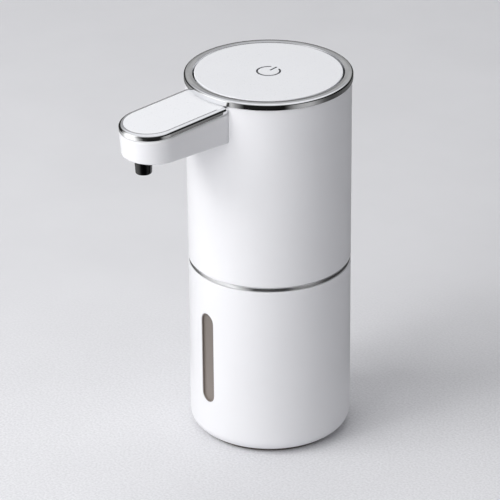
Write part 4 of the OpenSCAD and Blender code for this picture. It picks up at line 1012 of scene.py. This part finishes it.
fade_from = round_way((-172, 0.2), (-160, 0.65), (-130, 0.7), (-110, 1.3), (-60, 1.3), (-45, 0.7),
                      (40, 0.7), (70, 1.2), (120, 1.2), (160, 0.65), (172, 0.2))
wall_high = round_way((-130, 1.0), (-110, 1.5), (-60, 1.5), (-45, 1.0), (40, 1.0), (70, 1.5),
                      (120, 1.5), (150, 1.0))
print("shades at", len(way), "places on the way round")

# %% Table card and wall card
wall_from, wall_rows, sky_shade, above_table = 1.6, 21, 0.46, 0.002
far_zone, outer_zone = (0.18, 0.34), (0.42, 0.60)
card_r = np.array([0.075, 0.14, 0.18, 0.22, 0.26, 0.30, 0.36, 0.42, 0.48, 0.54, 0.60, 0.8, wall_from])
far_part, outer_part = (smooth(card_r, *zone)[:, None] for zone in (far_zone, outer_zone))
table_shade = mixed(mixed(near_shade, far_shade, far_part), wall_shade, outer_part)
add_card("table_card", card_r, 0 * card_r[:, None] + above_table, table_shade)
card_z = np.linspace(0, 1, wall_rows)[:, None] * wall_high
sky_part = smooth(card_z, fade_from, wall_high)
add_card("wall_card", np.full(wall_rows, wall_from), card_z, mixed(wall_shade, sky_shade, sky_part))

# %% [markdown]
# ## Room
# The room lights everything evenly. Reflections see it dim at the foot of its walls and light at
# its ceiling. In a strip over the dispenser it stays grey for longer and then turns light quickly,
# which models the plating. The camera sees a plain pale backdrop. Light Path tells the rays apart.

# %% World
room_light, backdrop_light = 0.38, 0.8
dim_foot, grey_strip, light_ceiling = 0.18, 0.4, 0.9
strip_left, strip_core, strip_edge = 0.12, 0.16, 0.34
world = bpy.data.worlds.new("room")
world.use_nodes = True
bpy.context.scene.world = world
room = world.node_tree
looking = add_node(room, "TexCoord", {}).outputs["Generated"]
upward = add_node(room, "SeparateXYZ", {"Vector": looking}).outputs["Z"]
across = add_node(room, "VectorMath", {0: looking, 1: right})
across.operation = "PROJECT"
beside = add_node(room, "VectorMath", {0: across.outputs["Vector"], 1: -strip_left * right})
beside.operation = "DISTANCE"
open_sky = map_range(room, upward, (0.2, 0.8), dim_foot, light_ceiling)
strip_sky = map_range(room, upward, (0.5, 0.72), grey_strip, light_ceiling)
mirrored = map_range(room, beside.outputs["Value"], (strip_core, strip_edge), strip_sky, open_sky)
for ramp in (open_sky, strip_sky, mirrored):
    ramp.node.interpolation_type = "SMOOTHSTEP"
path = add_node(room, "LightPath", {})
direct = add_node(room, "Math", {0: path.outputs["Is Camera Ray"], 1: path.outputs["Is Transmission Ray"]})
direct.operation = "MAXIMUM"
indirect = map_range(room, path.outputs["Is Glossy Ray"], (0.0, 1.0), room_light, mirrored)
strength = map_range(room, direct.outputs["Value"], (0.0, 1.0), indirect, backdrop_light)
feed(room, room.nodes["Background"], {"Color": (0.965, 0.97, 1.0, 1), "Strength": strength})
bpy.context.scene.view_settings.view_transform = "Standard"
print("room light %.2f, backdrop %.2f" % (room_light, backdrop_light))
